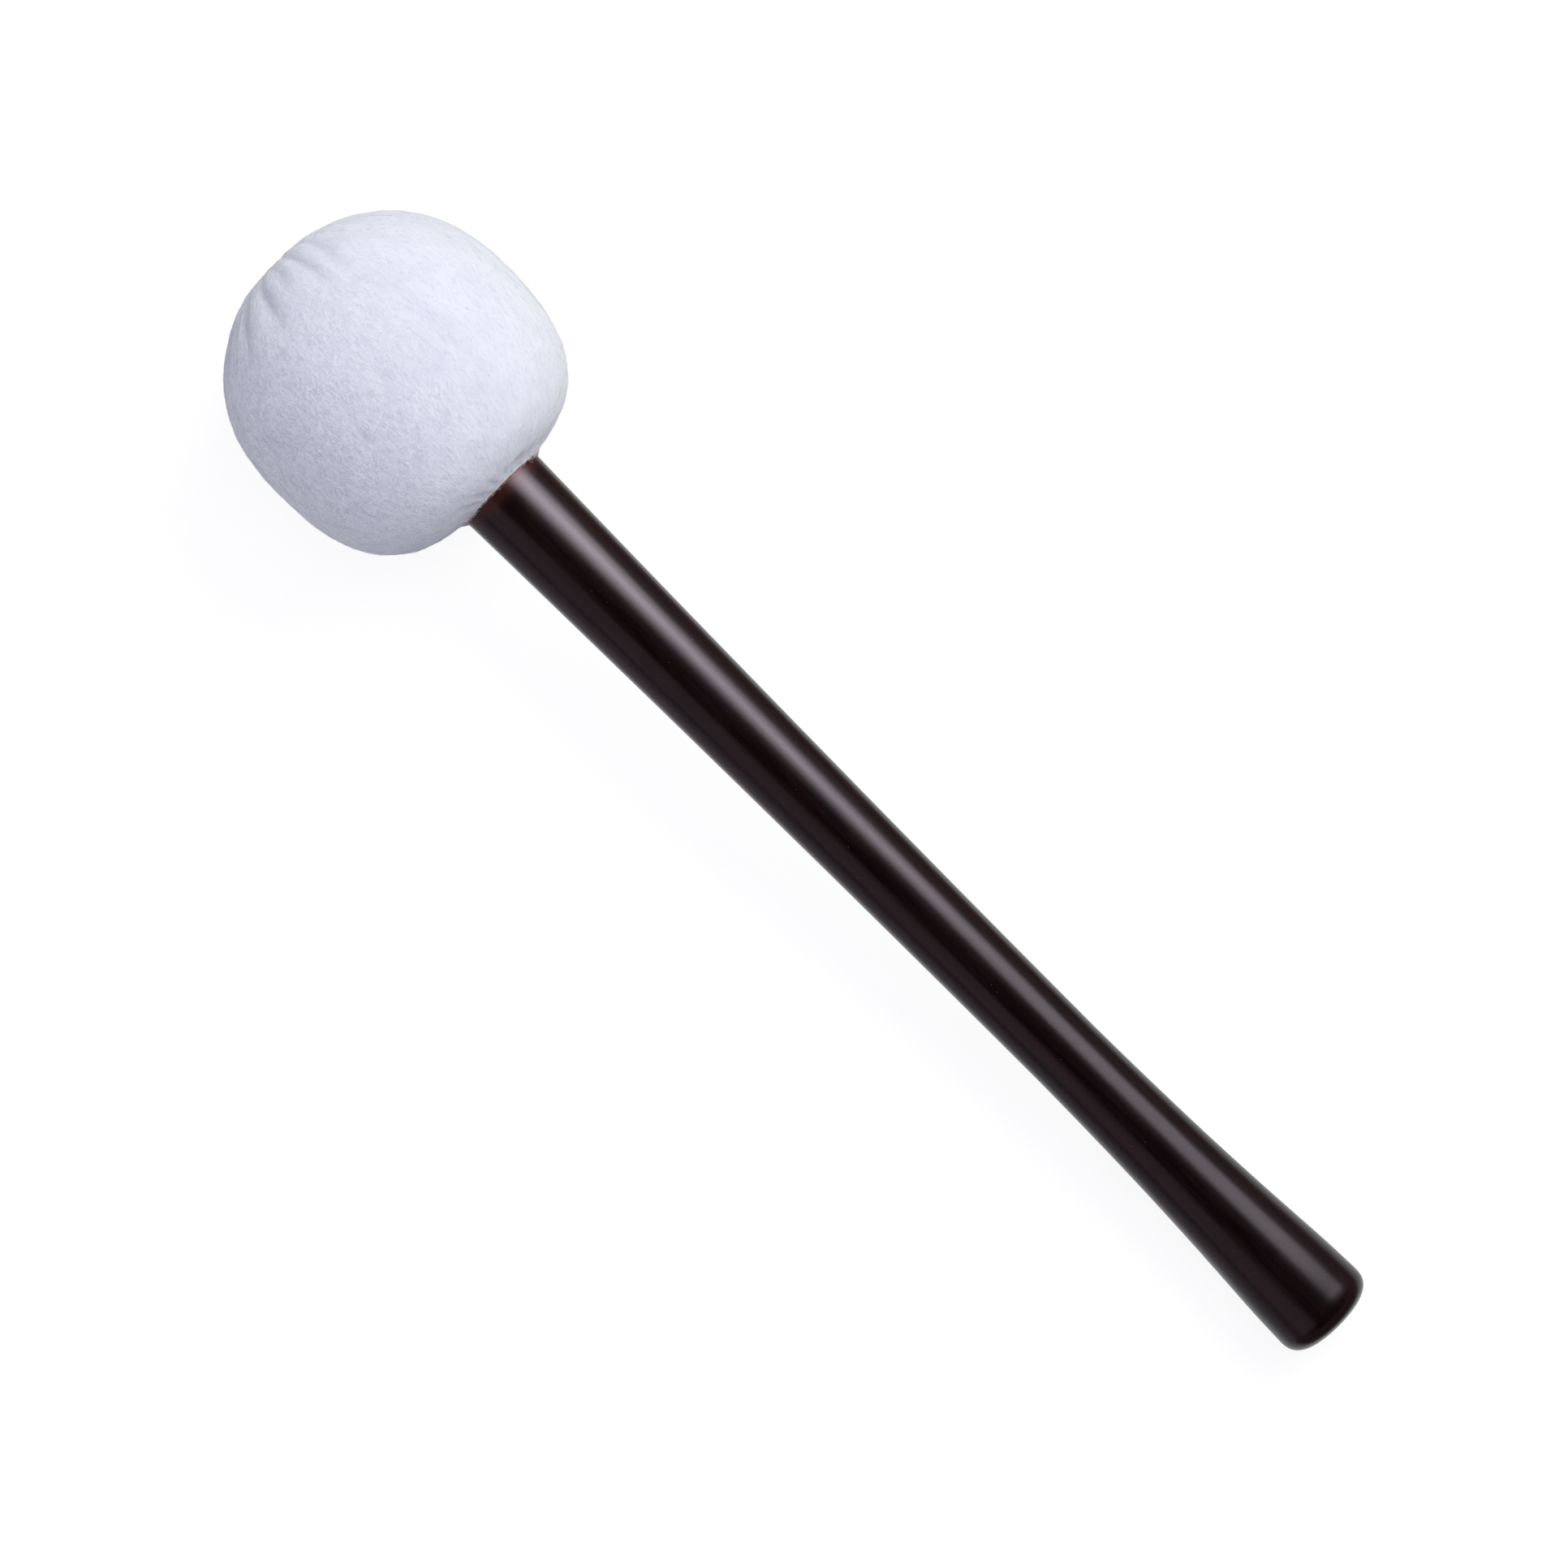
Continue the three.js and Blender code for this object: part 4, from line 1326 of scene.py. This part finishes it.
def felt_look(name, pale, dark, scale, relief):
    """Matted wool or cotton: short fibres in every direction, with soft lumps."""
    look = Look(name, {
        "Roughness": 1, "Diffuse Roughness": 0.9, "Specular IOR Level": 0.1,
        "Sheen Weight": 0.25, "Sheen Roughness": 0.5,
    })
    place = look.mallet_place()
    one_way = look.noise(look.scaled(place, (0.25, 1, 1)), scale, 4, 0.65, 1.2)
    other_way = look.noise(look.scaled(place, (1, 0.3, 0.6)), scale, 4, 0.65, 1.2)
    lumps = look.noise(place, 0.15 * scale, 3, 0.5)
    hairs = look.greatest(one_way, other_way)
    tone = look.mix(look.span(hairs, 0.4, 0.75), dark, pale)
    tone = look.mix(look.span(lumps, 0.35, 0.7, 0, 0.3), tone, dark)
    height = look.total(hairs, look.product(lumps, 1.5))
    return look.finished(Base_Color=tone, Normal=look.bump(height, 0.8, relief))


def under_cover(start_turn_at, start_radius, end_turn_at, end_radius, count):
    """Points of the head's outline where the stuffing meets the cover, from one radius to another."""
    start, end = start_turn_at(start_radius, lining_inset), end_turn_at(end_radius, lining_inset)
    return list(zip(*head_outline(np.linspace(start, end, count), lining_inset)))


def make_stuffing():
    crown_end, neck_end = node_span("head_core")
    dense_crown, dense_neck = node_span("dense_felt_wrap")
    soft_crown, soft_neck = node_span("soft_felt_wrap")
    dense = (felt_look("dense_wool_felt", *dense_wool), "dense_felt", 0.95)
    soft = (felt_look("soft_wool_felt", *soft_wool), "soft_felt", 0.85)
    cotton = (felt_look("cotton_padding", *cotton_wad), "padding", 0.8)
    first, second, third = core_radius + clearance, dense_outer + clearance, soft_outer + clearance
    make_felt_roll("dense_felt_roll", "dense_felt_wrap", first, dense_outer, dense_turns, *dense)
    make_felt_roll("soft_felt_roll", "soft_felt_wrap", second, soft_outer, soft_turns, *soft)
    top = under_cover(crown_turn_at, disc_start, crown_turn_at, core_radius, disc_rows)
    disc = [(0, top[0][1]), *top, (core_radius, crown_end - clearance), (0, crown_end - clearance)]
    bottom = under_cover(neck_turn_at, core_radius, neck_turn_at, hem_radius, disc_rows)
    ring = [*bottom, (hem_radius, neck_end + clearance), (core_radius, neck_end + clearance)]
    make_round_felt("crown_felt_pad", "crown_felt_disc", disc, felt_sides, felt_relief, *dense)
    make_round_felt("neck_felt_ring", "neck_felt_disc", ring, felt_sides, felt_relief, *dense)
    band = under_cover(crown_turn_at, first, neck_turn_at, first, band_rows)
    band += [
        (first, dense_neck + clearance), (second, dense_neck + clearance),
        (second, soft_neck + clearance), (third, soft_neck + clearance),
        (third, soft_crown - clearance), (second, soft_crown - clearance),
        (second, dense_crown - clearance), (first, dense_crown - clearance),
    ]
    make_round_felt("cotton_padding_band", "head_padding", band, padding_sides, padding_relief, *cotton)


# Core, washer and screw

core_sides = 160
washer_sides = 96
washer_radius = 10.5 * mm
screw_radius = 2.5 * mm
screw_root_radius = 1.9 * mm
screw_pitch = 2.4 * mm
screw_plain = 6 * mm
screw_head_radius = 4.6 * mm
screw_head_height = 3 * mm
screw_slot_width = 1.2 * mm
screw_slot_depth = 1.4 * mm
screw_sides = 64
screw_row = 0.15 * mm
bevel = 0.25 * mm
wood_relief = 0.05 * mm
steel_relief = 0.01 * mm


def bare_wood_look():
    """Pale, close-grained turned wood with faint growth rings and tool marks."""
    look = Look("bare_hardwood", {"Roughness": 0.62, "Specular IOR Level": 0.3})
    place = look.mallet_place()
    rings = look.node("TexWave", {
        "Vector": look.scaled(place, (0.15, 1, 1)), "Scale": 190, "Distortion": 5, "Detail": 3,
        "Detail Scale": 1.2,
    }, wave_type="RINGS", rings_direction="X").outputs["Fac"]
    pores = look.noise(look.scaled(place, (0.06, 1, 1)), 3500, 3, 0.6)
    cloud = look.noise(look.scaled(place, (0.4, 1, 1)), 80, 3)
    tone = look.mix(look.span(rings, 0.2, 0.9), colour(0.62, 0.43, 0.25), colour(0.7, 0.52, 0.33))
    tone = look.mix(look.span(pores, 0.55, 0.72, 0, 0.5), tone, colour(0.4, 0.25, 0.13))
    tone = look.mix(look.span(cloud, 0.35, 0.7, 0, 0.3), tone, colour(0.76, 0.6, 0.42))
    marks = look.noise(look.scaled(place, (1, 0.02, 0.02)), 2500, 2)
    height = look.total(look.product(marks, 0.5), look.product(pores, 0.8))
    return look.finished(Base_Color=tone, Normal=look.bump(height, 0.6, wood_relief))


def plated_steel_look():
    """Zinc plate with tool marks, small stains and dulled patches."""
    look = Look("plated_steel", {"Metallic": 1})
    place = look.mallet_place()
    stains = look.noise(place, 300, 4, 0.6)
    marks = look.noise(look.scaled(place, (1, 0.05, 0.05)), 5000, 2)
    scratches = look.noise(look.scaled(place, (0.1, 1, 0.2)), 4000, 3, 0.7, 1)
    tone = look.mix(look.span(stains, 0.4, 0.7), colour(0.62, 0.63, 0.64), colour(0.52, 0.5, 0.45))
    roughness = look.total(look.span(stains, 0.35, 0.7, 0.26, 0.42), look.product(scratches, 0.08))
    height = look.total(marks, look.product(scratches, 0.5))
    return look.finished(Base_Color=tone, Roughness=roughness, Normal=look.bump(height, 0.5, steel_relief))


def make_turned_ring(name, node, corners, sides, material):
    outline = evened(rounded(bevelled(corners, bevel), True, 1), 2 * bevel, True)
    grid, faces = turned_ring(outline, sides)
    new_piece(name, grid.reshape(-1, 3), faces, material, node)


def screw_rows(seat, tip):
    """Radii round the axis and distances of the screw's rows, from its head to its tip."""
    angles = even_angles(screw_sides)
    rows = []
    for turn in np.linspace(0, 1, 9)[1:] * quarter:
        fall = screw_head_height * (1 - 0.5 * (1 - math.cos(turn)))
        rows.append((screw_head_radius * math.sin(turn), seat - fall))
    rows += [(screw_head_radius, seat - bevel), (screw_head_radius - bevel, seat)]
    rows += [(screw_radius + bevel, seat), (screw_radius, seat + bevel)]
    radii = [np.full(screw_sides, radius) for radius, _ in rows]
    distances = [distance for _, distance in rows]
    thread_start = seat + screw_plain
    for distance in np.arange(seat + 2 * bevel, tip, screw_row):
        turn_share = ((distance - thread_start) / screw_pitch - angles / full_turn) % 1
        crest = smooth_step(np.abs(2 * turn_share - 1), 0.25, 0.9)
        thread = screw_root_radius + (screw_radius - screw_root_radius) * crest
        cut = smooth_step(distance, thread_start - screw_pitch / 2, thread_start + screw_pitch / 2)
        point = np.clip((tip - distance) / (2 * screw_radius), 0, 1) ** 0.8
        radii.append((screw_radius + cut * (thread - screw_radius)) * point)
        distances.append(distance)
    return np.array(radii), np.array(distances)


def cut_slot(piece, top):
    """Cuts the driver's slot across the screw's head."""
    half, reach = screw_slot_width / 2, 1.2 * screw_head_radius
    corners = [
        (distance, aside, rise)
        for distance in (top - screw_slot_depth, top + screw_slot_depth)
        for aside in (-half, half)
        for rise in (-reach, reach)
    ]
    faces = [(0, 1, 3, 2), (4, 6, 7, 5), (0, 4, 5, 1), (2, 3, 7, 6), (0, 2, 6, 4), (1, 5, 7, 3)]
    cutter = new_mesh_object("slot_cutter", placed(corners).tolist(), faces)
    cut = piece.modifiers.new("slot", "BOOLEAN")
    cut.operation = "DIFFERENCE"
    cut.solver = "EXACT"
    cut.object = cutter
    shaped = piece.evaluated_get(bpy.context.evaluated_depsgraph_get())
    piece.data = bpy.data.meshes.new_from_object(shaped)
    piece.modifiers.clear()
    bpy.data.objects.remove(cutter)


def make_core():
    crown_end, neck_end = node_span("head_core")
    washer_crown, washer_neck = node_span("core_washer")
    screw_top, screw_tip = node_span("core_screw")
    bore, counterbore = tenon_radius + clearance, washer_radius + clearance
    floor_end = washer_neck + clearance
    core = [
        (core_radius - core_chamfer, neck_end), (bore, neck_end), (bore, floor_end),
        (counterbore, floor_end), (counterbore, crown_end), (core_radius - core_chamfer, crown_end),
        (core_radius, crown_end + core_chamfer), (core_radius, neck_end - core_chamfer),
    ]
    make_turned_ring("turned_core", "head_core", core, core_sides, bare_wood_look())
    steel = plated_steel_look()
    hole = screw_radius + clearance
    washer = [
        (washer_radius, washer_neck), (hole, washer_neck),
        (hole, washer_crown), (washer_radius, washer_crown),
    ]
    make_turned_ring("plated_washer", "core_washer", washer, washer_sides, steel)
    radii, distances = screw_rows(screw_top + screw_head_height, screw_tip)
    grid = around_axis(radii, distances[:, None], even_angles(screw_sides)[None, :])
    points, faces = capped_rings(grid, [(screw_top, 0, 0), (screw_tip, 0, 0)])
    cut_slot(new_piece("slotted_screw", points, faces, steel, "core_screw"), screw_top)


make_studio()
make_handle()
cover_surface = CoverSurface()
make_cover(cover_surface)
fibre_material = fibre_look("fleece_fibres", fleece_light, fleece_fibre)
for number in range(nap_pieces):
    make_nap(cover_surface, f"nap_fibres_{number + 1}", 20 + number, fibre_material)
make_hem_fibres(cover_surface, fibre_look("hem_hairs", hem_fibre_red, hem_fibre_pale))
make_threads(cover_surface)
make_stuffing()
make_core()
